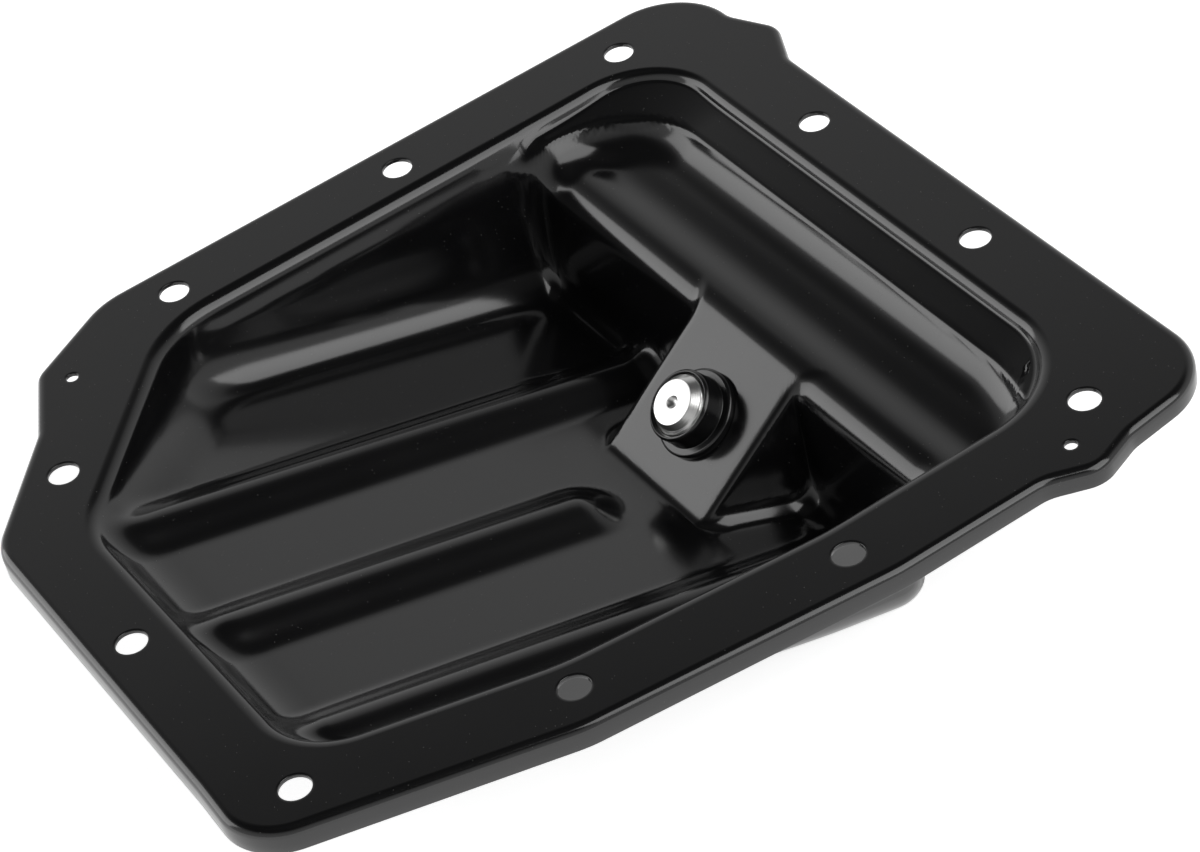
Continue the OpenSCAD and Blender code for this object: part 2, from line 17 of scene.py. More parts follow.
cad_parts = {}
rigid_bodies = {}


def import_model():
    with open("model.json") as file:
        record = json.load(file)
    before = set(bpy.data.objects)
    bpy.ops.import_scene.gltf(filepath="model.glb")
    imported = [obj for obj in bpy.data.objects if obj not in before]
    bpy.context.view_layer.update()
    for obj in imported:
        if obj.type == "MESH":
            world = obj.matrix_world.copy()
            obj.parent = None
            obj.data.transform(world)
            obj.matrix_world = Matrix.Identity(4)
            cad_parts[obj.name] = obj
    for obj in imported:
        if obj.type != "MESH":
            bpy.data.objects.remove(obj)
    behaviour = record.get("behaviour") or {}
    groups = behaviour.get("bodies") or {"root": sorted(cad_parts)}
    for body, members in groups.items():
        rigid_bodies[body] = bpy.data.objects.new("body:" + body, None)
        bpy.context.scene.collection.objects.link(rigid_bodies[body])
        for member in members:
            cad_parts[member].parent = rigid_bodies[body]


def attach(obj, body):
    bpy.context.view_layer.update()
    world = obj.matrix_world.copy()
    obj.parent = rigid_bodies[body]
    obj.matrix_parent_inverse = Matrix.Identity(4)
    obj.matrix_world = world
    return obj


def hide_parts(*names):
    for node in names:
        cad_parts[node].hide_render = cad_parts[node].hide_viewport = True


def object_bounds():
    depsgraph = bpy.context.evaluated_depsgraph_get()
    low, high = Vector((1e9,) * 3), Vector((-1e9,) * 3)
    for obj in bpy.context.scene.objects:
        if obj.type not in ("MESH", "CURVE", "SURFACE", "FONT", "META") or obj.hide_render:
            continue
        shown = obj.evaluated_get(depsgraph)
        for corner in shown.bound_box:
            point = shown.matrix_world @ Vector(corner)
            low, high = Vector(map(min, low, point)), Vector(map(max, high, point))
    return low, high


for leftover in list(bpy.data.objects):
    bpy.data.objects.remove(leftover)
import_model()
MM = 0.001
cad_box = [[float(v) for v in corner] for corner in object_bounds()]
print("CAD box in mm:", [[round(v / MM, 1) for v in corner] for corner in cad_box])

# %% [markdown]
# The photograph looks down on the pan from its near left, through a long lens, so lines that are
# parallel on the pan stay almost parallel in the picture. A camera can be placed by hand or by
# solving for the place from which known sizes line up. Here it is solved: the hole pattern
# of the flange fixes the distance, the direction and a roll of a few degrees.

# %% Camera
scene = bpy.context.scene
IMAGE_W = 1200
SENSOR_MM = 36
FOCAL_PX = 4152
camera_data = bpy.data.cameras.new("camera")
camera_data.sensor_width = SENSOR_MM
camera_data.lens = SENSOR_MM * FOCAL_PX / IMAGE_W
camera = bpy.data.objects.new("camera", camera_data)
camera.location = Vector((-256.5, -644.6, 555.9)) * MM
camera.rotation_euler = Euler([math.radians(a) for a in (49.617, 11.746, -32.739)])
scene.collection.objects.link(camera)
scene.camera = camera
print("lens in mm:", round(camera_data.lens, 1))

# %% [markdown]
# A pressed sheet is easiest to describe by its depth under the flange. Every bend in it is the
# same thing: a rounded edge, a leaning wall and a rounded foot, because that is what a punch and a
# die with rounded corners leave. One function, step, gives that section with true arcs, and the
# ribs, the shelf, the drain ramp and the walls are all made from it.

# %% Sizes of the flange and the bowl, in millimetres
FLANGE_LEN, FLANGE_WID, FLANGE_W = 222, 206, 18.6
SHEET_T, BEND_R = 1.0, 2.0
LIP_H_SHALLOW, LIP_H_DRAIN = 6.0, 4.8
LUG_X, LUG_OUT = 74, 4.9
BUMP_Y, BUMP_HALF, BUMP_OUT = 70.4, 12.5, 5.5
SHALLOW_FOOT_SHARE = 0.37
DRAFT, RIM_R, FOOT_R, NEAR_FOOT_R = 7, 3.5, 11.5, 5.0
SHALLOW_DEPTH, FLOOR_SLOPE, FLOOR_LEVEL_BEND = 8.8, 14.5, 2.0
FLOOR_FOOT_IN, FLOOR_LEVEL_BACK, FAR_RIM_OUT = 13.5, 2.0, 0.5
RIB_H, RIB_W, RIB_PITCH, RIB_MID, RIB_NEARER, RIB_END_GAP = 3.8, 22.0, 42.5, -7.5, 1.0, 8
SHELF_DEPTH, SHELF_LEN, SHELF_R, SHELF_FOOT_R = 10.1, 34.9, 7.5, 8.0
TROUGH_DEPTH, TROUGH_W = 0.9, 15.0
LEDGE_DEPTH, LEDGE_W, LEDGE_R, LEDGE_EDGE_R, LEDGE_CORNER_R = 3.6, 10.8, 9.9, 1.4, 24.9
LEDGE_SLOPE, LEDGE_FAR_W, LEDGE_BEND, LEDGE_BEND_LEN = 6.6, 6.3, 0.009, 45
SUMP_FAR_R, SUMP_NEAR_R, SUMP_END_GAP = 15.0, 18.0, 2.5
DRAIN_LOW = 1.8
RAMP_W, RAMP_ANGLE, RAMP_R, RAMP_TOP_R, RAMP_FOOT_R, RAMP_SIDE_DRAFT = 40.0, 36.8, 2.0, 8.0, 6.0, 12
RAMP_CORNER_R, RAMP_TOP_GAP = 9.0, 3.4
left, right = -FLANGE_LEN / 2, FLANGE_LEN / 2
near, far = -FLANGE_WID / 2, FLANGE_WID / 2
rim_left, rim_right = left + FLANGE_W, right - FLANGE_W
rim_near, rim_far = near + FLANGE_W, far - FLANGE_W + FAR_RIM_OUT
floor_foot_x = rim_left + FLOOR_FOOT_IN
floor_level_x = floor_foot_x - FLOOR_LEVEL_BACK
shelf_x = rim_right - SHELF_LEN
ledge_x, ledge_y = rim_right - LEDGE_W, rim_far - LEDGE_FAR_W
ledge_rise = math.tan(math.radians(LEDGE_SLOPE))
trough_x = shelf_x + TROUGH_W / 2
ramp_top_x = shelf_x - RAMP_TOP_GAP
floor_rise = math.tan(math.radians(FLOOR_SLOPE))
ramp_rise = math.tan(math.radians(RAMP_ANGLE))
ramp_foot_x = (SHELF_DEPTH - SHALLOW_DEPTH + ramp_top_x * ramp_rise + floor_foot_x * floor_rise) / (
    ramp_rise + floor_rise)
rib_end_x = ramp_foot_x - RIB_END_GAP
drain_x = (ramp_top_x + ramp_foot_x) / 2 - DRAIN_LOW * math.cos(math.radians(RAMP_ANGLE))
drain_at = np.array([drain_x, RIB_MID, -SHELF_DEPTH - (ramp_top_x - drain_x) * ramp_rise])
print("drain hole at", drain_at.round(2))

# %% One rounded step of the sheet
LEAST_DROP, LEAST_TURN, NO_STEP = 1e-4, 1e-6, 0.01


def step_turn(drop, radii, lean):
    return np.minimum(np.radians(90 - lean), np.arccos(np.clip(1 - drop / radii, -1, 1)))


def step_width(drop, r_edge, r_foot, lean):
    radii = r_edge + r_foot
    turn = step_turn(drop, radii, lean)
    straight = np.maximum(0, drop - radii * (1 - np.cos(turn)))
    return radii * np.sin(turn) + straight / np.tan(np.maximum(turn, LEAST_TURN))


def step(s, top, bottom, r_edge, r_foot, lean):
    drop = np.maximum(bottom - top, LEAST_DROP)
    turn = step_turn(drop, r_edge + r_foot, lean)
    foot_s = step_width(drop, r_edge, r_foot, lean) - s
    edge = top + r_edge - np.sqrt(np.maximum(0, r_edge**2 - s**2))
    foot = bottom - r_foot + np.sqrt(np.maximum(0, r_foot**2 - foot_s**2))
    wall = top + r_edge * (1 - np.cos(turn)) + (s - r_edge * np.sin(turn)) * np.tan(turn)
    depth = np.where(foot_s < r_foot * np.sin(turn), foot, wall)
    depth = np.where(s < r_edge * np.sin(turn), edge, depth)
    depth = np.where(foot_s <= 0, bottom, depth)
    depth = np.where(s <= 0, top, depth)
    return np.where(bottom - top < NO_STEP, bottom, depth)


print("a 20 mm step is", round(float(step_width(20.0, 3, 10, 7)), 2), "mm wide")


# %% [markdown]
# Inside the bowl are a sloping floor with three stiffening ribs, a deep sump, a shelf with a ledge
# and a flat ramp for the drain. They could be sculpted, or cut and filleted one by one. Here each
# is a depth that depends only on where one stands, and one step is nested in the next: the ramp is
# stepped into the sump, the sump into the shelf. The blends between them then come by themselves.

# %% Depth of the floor, the shelf and the drain ramp
def ribs(x, y):
    reaches = []
    for line in (RIB_MID - RIB_PITCH, RIB_MID, RIB_MID + RIB_PITCH):
        past_end = np.maximum(0, x - rib_end_x + RIB_W / 2) if line == RIB_MID else 0 * x
        reaches.append(np.hypot(past_end, y - line + RIB_NEARER))
    u = np.minimum(1, np.minimum.reduce(reaches) / (RIB_W / 2))
    return RIB_H * (1 + np.cos(math.pi * u)) / 2


def floor_depth(x, y):
    run = x - floor_level_x
    run = (run + np.hypot(run, FLOOR_LEVEL_BEND)) / 2 + floor_level_x - floor_foot_x
    return SHALLOW_DEPTH + run * floor_rise - ribs(x, y)


def round_corner(side, end, radius):
    inside = (side < radius) & (end < radius)
    return np.where(inside, radius - np.hypot(radius - side, radius - end), np.minimum(side, end))


def shelf_top(x, y):
    near_bend = LEDGE_BEND * np.maximum(0, near + LEDGE_BEND_LEN - y) ** 2
    inset = round_corner(ledge_x - near_bend - x, ledge_y - y, LEDGE_CORNER_R)
    ledge = LEDGE_DEPTH + np.minimum(0, inset) * ledge_rise
    across = np.minimum(1, np.abs(x - trough_x) / (TROUGH_W / 2))
    shelf = SHELF_DEPTH + TROUGH_DEPTH * (1 + np.cos(math.pi * across)) / 2
    return step(inset, ledge, shelf, LEDGE_EDGE_R, LEDGE_R, DRAFT)


def pocket_depth(x, y):
    inset = np.minimum(
        round_corner(shelf_x - x, rim_far + SUMP_END_GAP - y, SUMP_FAR_R),
        round_corner(shelf_x - x, y - rim_near + SUMP_END_GAP, SUMP_NEAR_R))
    return step(inset, shelf_top(x, y), floor_depth(x, y), SHELF_R, SHELF_FOOT_R, DRAFT)


def ramp_depth(x, y):
    s = ramp_top_x + RAMP_TOP_R * math.tan(math.radians(RAMP_ANGLE / 2)) - x
    return step(s, shelf_top(x, y), floor_depth(x, y), RAMP_TOP_R, RAMP_FOOT_R, 90 - RAMP_ANGLE)


def bowl_depth(x, y):
    beside = np.abs(y - RIB_MID) - RAMP_W / 2 + RAMP_R
    inset = round_corner(shelf_x - x, beside, RAMP_CORNER_R)
    return step(inset, ramp_depth(x, y), pocket_depth(x, y), RAMP_R, RAMP_FOOT_R, RAMP_SIDE_DRAFT)


print("depth beside the ramp:", float(bowl_depth(np.array(30.0), np.array(40.0))))


# %% [markdown]
# A drawn wall leans a few degrees so that the punch comes out again. It is the same step once
# more, from the flange down to whatever depth the bowl has there. Where the bowl is shallow there
# is no room for two full bends, so the radii shrink with the depth and the wall stays steep.

# %% The outer walls, whose radii shrink where the bowl is shallow
def wall_radii(depth, inward_x, inward_y):
    edge = np.minimum(RIM_R, depth)
    foot = FOOT_R - (FOOT_R - NEAR_FOOT_R) * np.maximum(0, inward_y)
    steep = depth / (1 - math.sin(math.radians(DRAFT))) - edge
    tight = np.minimum(foot, np.maximum(depth * SHALLOW_FOOT_SHARE, steep))
    return edge, tight + (foot - tight) * np.maximum(0, inward_x)


def wall_width(depth, inward_x, inward_y):
    edge, foot = wall_radii(depth, inward_x, inward_y)
    return step_width(depth, edge, foot, DRAFT)


def wall_depth(x, y, s, inward_x, inward_y):
    depth = bowl_depth(x, y)
    edge, foot = wall_radii(depth, inward_x, inward_y)
    return step(s, 0 * depth, depth, edge, foot, DRAFT)


print("wall width at a depth of 9 mm:", float(wall_width(np.array(9.0), 0.0, 0.0).round(2)))

# %% [markdown]
# The rim and the flange are drawn as corners with a radius each, the way a tool maker dimensions
# them. Each corner becomes an arc of points that also know which way is inward, because the walls
# grow inward from the rim and the lip grows outward from the edge.

# %% Corners of the flange and of the bowl as [x, y, radius]
OUTLINE_TURN, OUTLINE_GAP, RIM_TURN, RIM_GAP, SHORTEST = 4, 2.5, 2, 0.4, 0.05
outline_corners = [
    [left, near + 29, 15], [-43.6, near + 8.4, 30], [LUG_X - 46.8, near + 0.1, 40],
    [LUG_X - 10.8, near, 10], [LUG_X, near - LUG_OUT, 8], [LUG_X + 10.8, near - 0.6, 10],
    [right, near + 2.8, 17], [right, BUMP_Y - BUMP_HALF, 8], [right + BUMP_OUT, BUMP_Y, 6],
    [right, BUMP_Y + BUMP_HALF, 8], [right, far, 18], [left + 59, far, 20],
    [left + 36, far - 12.8, 6], [left + 26.7, far - 31.4, 8], [left + 2.2, far - 59.6, 16],
    [left + 1, near + 51.4, 60]]
near_left, near_right = [rim_left, near + 42.3, 20], [rim_right, rim_near, 27]
far_right, far_left = [rim_right, rim_far, 20.5], [rim_left, far - 67.8, 25]
far_mid = [left + 65.4, rim_far, 30]
near_mid = [[-37.7, near + 25.7, 60], [22.3, rim_near + 0.2, 60]]
rim_sides = [
    (far_left, [near_left, *near_mid, near_right], far_right),
    (near_mid[1], [near_right, far_right], far_mid),
    (near_right, [far_right, far_mid], far_left),
    (far_right, [far_mid, far_left, near_left], near_mid[0])]


def unit(v):
    return v / np.linalg.norm(v, axis=-1, keepdims=True)


def corner_arc(before, at, after, turn_step):
    before, at, after = (np.array(c, float) for c in (before, at, after))
    back, ahead = unit(before[:2] - at[:2]), unit(after[:2] - at[:2])
    half = math.acos(back @ ahead) / 2
    centre = at[:2] + unit(back + ahead) * at[2] / math.sin(half)
    side = np.sign(back[0] * ahead[1] - back[1] * ahead[0])
    start = at[:2] + back * at[2] / math.tan(half) - centre
    sweep = math.pi - 2 * half
    count = 2 * math.ceil(math.degrees(sweep) / turn_step / 2)
    a = math.atan2(start[1], start[0]) - side * sweep * np.linspace(0, 1, count + 1)
    around = np.stack([np.cos(a), np.sin(a)], 1)
    return np.hstack([centre + at[2] * around, side * around])


def closed_outline(corners):
    n = len(corners)
    return np.vstack([corner_arc(corners[k - 1], corners[k], corners[(k + 1) % n], OUTLINE_TURN)
                      for k in range(n)])


def side_arcs(before, corners, after):
    chain = [before, *corners, after]
    arcs = [corner_arc(*chain[k - 1:k + 2], RIM_TURN) for k in range(1, len(chain) - 1)]
    arcs[0] = arcs[0][len(arcs[0]) // 2:]
    arcs[-1] = arcs[-1][:len(arcs[-1]) // 2 + 1]
    return np.vstack(arcs)


def subdivided(points, gap):
    parts = []
    for a, b in zip(points[:-1], points[1:]):
        length = np.linalg.norm(b[:2] - a[:2])
        count = math.ceil(length / gap) if length > SHORTEST else 0
        parts.append(a + (b - a) * np.arange(count)[:, None] / max(count, 1))
    points = np.vstack(parts + [points[-1:]])
    points[:, 2:] = unit(points[:, 2:])
    return points


outline = closed_outline(outline_corners)
outline = subdivided(np.vstack([outline, outline[:1]]), OUTLINE_GAP)[:-1]
print("points round the flange:", len(outline))

# %% [markdown]
# The bowl needs an even mesh on steep walls as well as on flat floors, or reflections wobble. The
# mesh is a ring of wall strips round a net. The net's lines start evenly spaced along the foot of
# the walls, then every crossing moves towards its longer neighbours until all threads of the net
# are about equally long in space: the net settles on the form like cloth pulled over it. Bends pull
# in more threads than flats, so every fillet gets several rows.

# %% Stations round the rim, evenly spaced along the foot of the walls in space
COLS, ROWS = 152, 136
PROBE = 0.02
BEND_PULL = 4.0
FOOT_GUESS, FOOT_TRIES, PACE_REACH = 0.8 * FOOT_R, 12, 6


def smoothing(reach):
    return np.ones(2 * reach + 1) / (2 * reach + 1)


def foot_inset(p):
    x, y, inx, iny = p.T
    width = 0 * x + FOOT_GUESS
    for _ in range(FOOT_TRIES):
        reached = wall_width(bowl_depth(x + inx * width, y + iny * width), inx, iny)
        width = (width + reached) / 2
    return width


def bowl_normal(x, y):
    dx = (bowl_depth(x + PROBE, y) - bowl_depth(x - PROBE, y)) / (2 * PROBE)
    dy = (bowl_depth(x, y + PROBE) - bowl_depth(x, y - PROBE)) / (2 * PROBE)
    return unit(np.stack([dx, dy, np.ones_like(dx)], -1))


def side_stations(points, count):
    foot = points[:, :2] + points[:, 2:] * foot_inset(points)[:, None]
    space = np.column_stack([foot, -bowl_depth(foot[:, 0], foot[:, 1])])
    normal = bowl_normal(foot[:, 0], foot[:, 1])
    pace = np.linalg.norm(np.diff(space, axis=0), axis=1)
    pace += BEND_PULL * np.linalg.norm(np.diff(normal, axis=0), axis=1)
    pace = np.convolve(np.pad(pace, PACE_REACH, mode="edge"), smoothing(PACE_REACH), mode="valid")
    along = np.concatenate([[0], np.cumsum(pace)])
    wanted = np.linspace(0, along[-1], count + 1)
    out = np.stack([np.interp(wanted, along, points[:, k]) for k in range(4)], 1)
    out[:, 2:] = unit(out[:, 2:])
    return out


sides = [subdivided(side_arcs(*side), RIM_GAP) for side in rim_sides]
stations = np.vstack([side_stations(p, c)[:-1] for p, c in zip(sides, (COLS, ROWS, COLS, ROWS))])
print("stations:", len(stations))

# %% Rings of the outer wall
rim_turns = np.linspace(0, 1, 6)
wall_shares = [0.25, 0.5, 0.75]
foot_turns = np.linspace(1, 0, 9)
EVEN_REACH = 5


def evened(values):
    padded = np.concatenate([values[-EVEN_REACH:], values, values[:EVEN_REACH]])
    return np.convolve(padded, smoothing(EVEN_REACH), mode="valid")


def widest(values):
    return np.max([np.roll(values, k) for k in range(-EVEN_REACH, EVEN_REACH + 1)], axis=0)


def ring_insets(p):
    inx, iny = p[:, 2], p[:, 3]
    width = evened(widest(foot_inset(p)))
    foot_xy = p[:, :2] + p[:, 2:] * width[:, None]
    depth = bowl_depth(foot_xy[:, 0], foot_xy[:, 1])
    edge, foot = wall_radii(depth, inx, iny)
    turn = step_turn(depth, edge + foot, DRAFT)
    edge_end, foot_start = edge * np.sin(turn), width - foot * np.sin(turn)
    rings = [edge * np.sin(turn * k) for k in rim_turns]
    rings += [edge_end + (foot_start - edge_end) * k for k in wall_shares]
    rings += [width - foot * np.sin(turn * k) for k in foot_turns]
    return np.stack([evened(ring) for ring in rings[:-1]] + [width])


def wall_points(p, s):
    x, y = p[:, 0] + p[:, 2] * s, p[:, 1] + p[:, 3] * s

    def depth(dx, dy):
        return wall_depth(x + dx, y + dy, s + p[:, 2] * dx + p[:, 3] * dy, p[:, 2], p[:, 3])

    slope_x = (depth(PROBE, 0) - depth(-PROBE, 0)) / (2 * PROBE)
    slope_y = (depth(0, PROBE) - depth(0, -PROBE)) / (2 * PROBE)
    return np.stack([x, y, -depth(0, 0)], 1), unit(np.stack([slope_x, slope_y, np.ones_like(x)], 1))


insets = ring_insets(stations)
ring_points, ring_normals = zip(*(wall_points(stations, s) for s in insets))
ring_normals[0][:] = (0, 0, 1)
print("rings:", len(ring_points))


# %% The net over the floor, relaxed in three rounds from coarse to fine
NET_PASSES, RELAX_STEP, LEAST_THREAD = (160, 80, 50), 0.8, 1e-3


def border_sides(cols, rows):
    i, j = np.arange(cols + 1), np.arange(rows + 1)
    total = 2 * (cols + rows)
    return i, (2 * cols + rows - i) % total, (total - j) % total, cols + j


def coons(border, cols, rows):
    i, j = np.arange(cols + 1), np.arange(rows + 1)
    low, high, west, east = (border[side] for side in border_sides(cols, rows))
    u, v = (i / cols)[:, None, None], (j / rows)[None, :, None]
    across = (1 - v) * low[:, None] + v * high[:, None]
    along = (1 - u) * west[None] + u * east[None]
    corners = ((1 - u) * (1 - v) * low[0] + u * (1 - v) * low[-1] + (1 - u) * v * high[0]
               + u * v * high[-1])
    return across + along - corners


def with_border(net, border, cols, rows):
    low, high, west, east = border_sides(cols, rows)
    net[:, 0], net[:, -1] = border[low], border[high]
    net[0], net[-1] = border[west], border[east]
    return net


def pull(a, b):
    flat = np.maximum(np.linalg.norm(b[..., :2] - a[..., :2], axis=-1), LEAST_THREAD)
    space = np.linalg.norm(b[..., :3] - a[..., :3], axis=-1)
    bend = np.linalg.norm(b[..., 3:] - a[..., 3:], axis=-1)
    return ((space + BEND_PULL * bend) / flat)[..., None]


def relax(net, passes):
    for _ in range(passes):
        x, y = net[..., 0], net[..., 1]
        felt = np.concatenate([net, -bowl_depth(x, y)[..., None], bowl_normal(x, y)], -1)
        along, across = pull(felt[:-1], felt[1:]), pull(felt[:, :-1], felt[:, 1:])
        wl, wr, wn, wf = along[:-1, 1:-1], along[1:, 1:-1], across[1:-1, :-1], across[1:-1, 1:]
        middle = (wl * net[:-2, 1:-1] + wr * net[2:, 1:-1] + wn * net[1:-1, :-2] + wf * net[1:-1, 2:])
        net[1:-1, 1:-1] += RELAX_STEP * (middle / (wl + wr + wn + wf) - net[1:-1, 1:-1])
    return net


def doubled(net):
    wide = np.zeros((2 * net.shape[0] - 1, net.shape[1], 2))
    wide[::2], wide[1::2] = net, (net[:-1] + net[1:]) / 2
    full = np.zeros((wide.shape[0], 2 * wide.shape[1] - 1, 2))
    full[:, ::2], full[:, 1::2] = wide, (wide[:, :-1] + wide[:, 1:]) / 2
    return full


foot_line = ring_points[-1][:, :2]
net = relax(coons(foot_line[::4], COLS // 4, ROWS // 4), NET_PASSES[0])
net = relax(with_border(doubled(net), foot_line[::2], COLS // 2, ROWS // 2), NET_PASSES[1])
net = relax(with_border(doubled(net), foot_line, COLS, ROWS), NET_PASSES[2])
net_points = np.dstack([net, -bowl_depth(net[..., 0], net[..., 1])])
net_normals = bowl_normal(net[..., 0], net[..., 1])
threads = np.linalg.norm(np.diff(net_points, axis=0), axis=-1)
print("net threads in mm, mean and longest:", threads.mean().round(2), threads.max().round(2))

# %% [markdown]
# The flange is a flat plate between the rim and its outer bend, with eleven bolt holes and two
# locating holes. A flat plate with holes could be cut with a boolean, but a constrained triangulation
# keeps every loop of points as drawn, and a narrow band of faces along each loop keeps the
# shading of the rounded edges from spreading over the flat.

# %% Holes in the flange
BOLT_IN = 10.7
BOLT_R, LOCATOR_R, EDGE_R = 3.5, 1.4, 0.22
ROUND_POINTS, LOCATOR_POINTS = 64, 40
bolt_holes = [
    [right - 27.1, far - BOLT_IN - 2], [23, far - BOLT_IN + 0.3], [-37.6, far - BOLT_IN + 0.1],
    [left + 25, far - 48.6], [left + BOLT_IN + 0.3, -5.2], [left + 15.9, near + 35.9],
    [-39.3, near + BOLT_IN + 8.8], [22.1, near + BOLT_IN + 0.9],
    [right - 26.9, near + BOLT_IN + 3.6], [right - BOLT_IN, -29.2], [right - BOLT_IN - 0.1, 32.2]]
locator_holes = [[left + 41.7, far - 20.1], [LUG_X - 0.5, near + 5.2]]
holes = [(at, BOLT_R, ROUND_POINTS) for at in bolt_holes]
holes += [(at, LOCATOR_R, LOCATOR_POINTS) for at in locator_holes]


def circle(at, radius, count):
    a = np.arange(count) * 2 * math.pi / count
    return np.array(at) + radius * np.stack([np.cos(a), np.sin(a)], 1)


def inside(points, loop):
    x, y = points[:, 0], points[:, 1]
    found = np.zeros(len(points), bool)
    for (x0, y0), (x1, y1) in zip(loop, np.roll(loop, -1, 0)):
        crosses = (y0 > y) != (y1 > y)
        found ^= crosses & (x < (x1 - x0) * (y - y0) / (y1 - y0 + 1e-12) + x0)
    return found


SUPPORT, SLIVER, MERGE_GAP = 0.4, 1e-6, 1e-5
rim_support = stations[:, :2] - stations[:, 2:] * SUPPORT
bend_line = outline[:, :2] + outline[:, 2:] * BEND_R
outer_support = bend_line + outline[:, 2:] * SUPPORT
hole_lines = [circle(at, r + EDGE_R, count) for at, r, count in holes]
hole_supports = [circle(at, r + EDGE_R + SUPPORT, count) for at, r, count in holes]


def plate(loops, outer):
    links, start = [], 0
    for loop in loops:
        links += [(start + k, start + (k + 1) % len(loop)) for k in range(len(loop))]
        start += len(loop)
    flat = np.vstack(loops)
    corners = [Vector(p) for p in flat]
    points, _, faces, origins, _, _ = delaunay_2d_cdt(corners, links, [], 0, MERGE_GAP)
    to_first = [found[0] for found in origins]
    faces = np.array(faces)
    middles = np.array([list(p) for p in points])[faces].mean(1)
    kept = inside(middles, loops[outer])
    for k, loop in enumerate(loops):
        if k != outer:
            kept &= ~inside(middles, loop)
    faces = np.array(to_first)[faces[kept]]
    a, b, c = flat[faces[:, 0]], flat[faces[:, 1]], flat[faces[:, 2]]
    area = np.cross(b - a, c - a)
    faces[area < 0] = faces[area < 0][:, ::-1]
    return faces[np.abs(area) > SLIVER]


flange_loops = [outer_support, rim_support, *hole_supports]
flange_faces = plate(flange_loops, 0)
print("faces on the flat flange:", len(flange_faces))

# %% [markdown]
# All loops are now tied into one upper skin. The lower skin is the same skin moved one sheet
# thickness along its own normals, so the steel is equally thick on walls and floors. Small
# rounded edges close the two skins at the lip and in the holes, where the punch leaves them.

# %% The upper skin: rings, net, flange, lip and the drain hole
UP = np.array([0.0, 0.0, 1.0])
skin_points, skin_normals, skin_faces = [], [], []


def add_points(points, normals):
    start = sum(len(p) for p in skin_points)
    skin_points.append(np.asarray(points, float))
    skin_normals.append(np.broadcast_to(normals, np.shape(points)))
    return start + np.arange(len(points))


def lifted(flat, z=0.0):
    return np.column_stack([flat, np.full(len(flat), z)])


def band(outer, inner):
    a, b = np.asarray(outer), np.asarray(inner)
    skin_faces.extend(np.stack([a, np.roll(a, -1), np.roll(b, -1), b], 1).tolist())


ring_ids = [add_points(p, n) for p, n in zip(ring_points, ring_normals)]
for outer, inner in zip(ring_ids, ring_ids[1:]):
    band(outer, inner)

support_ids = [add_points(lifted(loop), UP) for loop in flange_loops]
flange_ids = np.concatenate(support_ids)
skin_faces.extend(flange_ids[flange_faces].tolist())
band(support_ids[1], ring_ids[0])
hole_ids = [add_points(lifted(loop), UP) for loop in hole_lines]
for outer, inner in zip(support_ids[2:], hole_ids):
    band(outer, inner)

lip_heights = LIP_H_SHALLOW + (LIP_H_DRAIN - LIP_H_SHALLOW) * (outline[:, 0] - left) / FLANGE_LEN
lip_ids = [support_ids[0]]
for turn in np.radians(np.linspace(0, 90, 7)):
    reach = BEND_R * (1 - math.sin(turn))
    flat = outline[:, :2] + outline[:, 2:] * reach
    normals = np.column_stack([-outline[:, 2:] * math.sin(turn), np.full(len(outline), math.cos(turn))])
    lip_ids.append(add_points(lifted(flat, -BEND_R * (1 - math.cos(turn))), normals))
for share in (0.5, 1):
    depth = BEND_R + (lip_heights - EDGE_R - BEND_R) * share
    lip_ids.append(add_points(np.column_stack([outline[:, :2], -depth]), skin_normals[-1]))
for inner, outer in zip(lip_ids, lip_ids[1:]):
    band(outer, inner)
print("upper skin without the net:", len(skin_faces), "faces")

# %% The net's faces, with the drain hole let into the flat of the ramp
DRAIN_HOLE_R, PATCH_MARGIN, PATCH_REACH = 7.5, 1.2, 1.0
ramp_turn = math.radians(RAMP_ANGLE)
ramp_along = np.array([math.cos(ramp_turn), 0, math.sin(ramp_turn)])
ramp_across = np.array([0.0, 1.0, 0.0])
ramp_normal = np.array([-math.sin(ramp_turn), 0, math.cos(ramp_turn)])
net_ids = np.zeros((COLS + 1, ROWS + 1), int)
net_ids = with_border(net_ids, ring_ids[-1], COLS, ROWS)
net_ids[1:-1, 1:-1] = add_points(
    net_points[1:-1, 1:-1].reshape(-1, 3), net_normals[1:-1, 1:-1].reshape(-1, 3)
).reshape(COLS - 1, ROWS - 1)
from_drain = net_points - drain_at
on_ramp = np.stack([from_drain @ ramp_along, from_drain @ ramp_across], -1)
beside_hole = np.hypot(on_ramp[..., 0], on_ramp[..., 1]) < DRAIN_HOLE_R + PATCH_MARGIN
beside_hole &= np.abs(from_drain @ ramp_normal) < PATCH_REACH
open_cells = beside_hole[:-1, :-1] | beside_hole[1:, :-1] | beside_hole[1:, 1:] | beside_hole[:-1, 1:]
cells = np.stack([net_ids[:-1, :-1], net_ids[1:, :-1], net_ids[1:, 1:], net_ids[:-1, 1:]], -1)
skin_faces.extend(cells[~open_cells].tolist())
gap_edges = {}
for quad in cells[open_cells].tolist():
    for a, b in zip(quad, quad[1:] + quad[:1]):
        if (b, a) in gap_edges:
            del gap_edges[(b, a)]
        else:
            gap_edges[(a, b)] = True
gap_next = {a: b for a, b in gap_edges}
gap_loop = [next(iter(gap_next))]
while gap_next[gap_loop[-1]] != gap_loop[0]:
    gap_loop.append(gap_next[gap_loop[-1]])
gap_loop = np.array(gap_loop)
gap_points = np.vstack(skin_points)[gap_loop] - drain_at
gap_flat = np.stack([gap_points @ ramp_along, gap_points @ ramp_across], 1)
drain_line = circle((0, 0), DRAIN_HOLE_R + EDGE_R, ROUND_POINTS)
drain_faces = plate([gap_flat, drain_line], 0)
drain_points = drain_at + drain_line[:, :1] * ramp_along + drain_line[:, 1:] * ramp_across
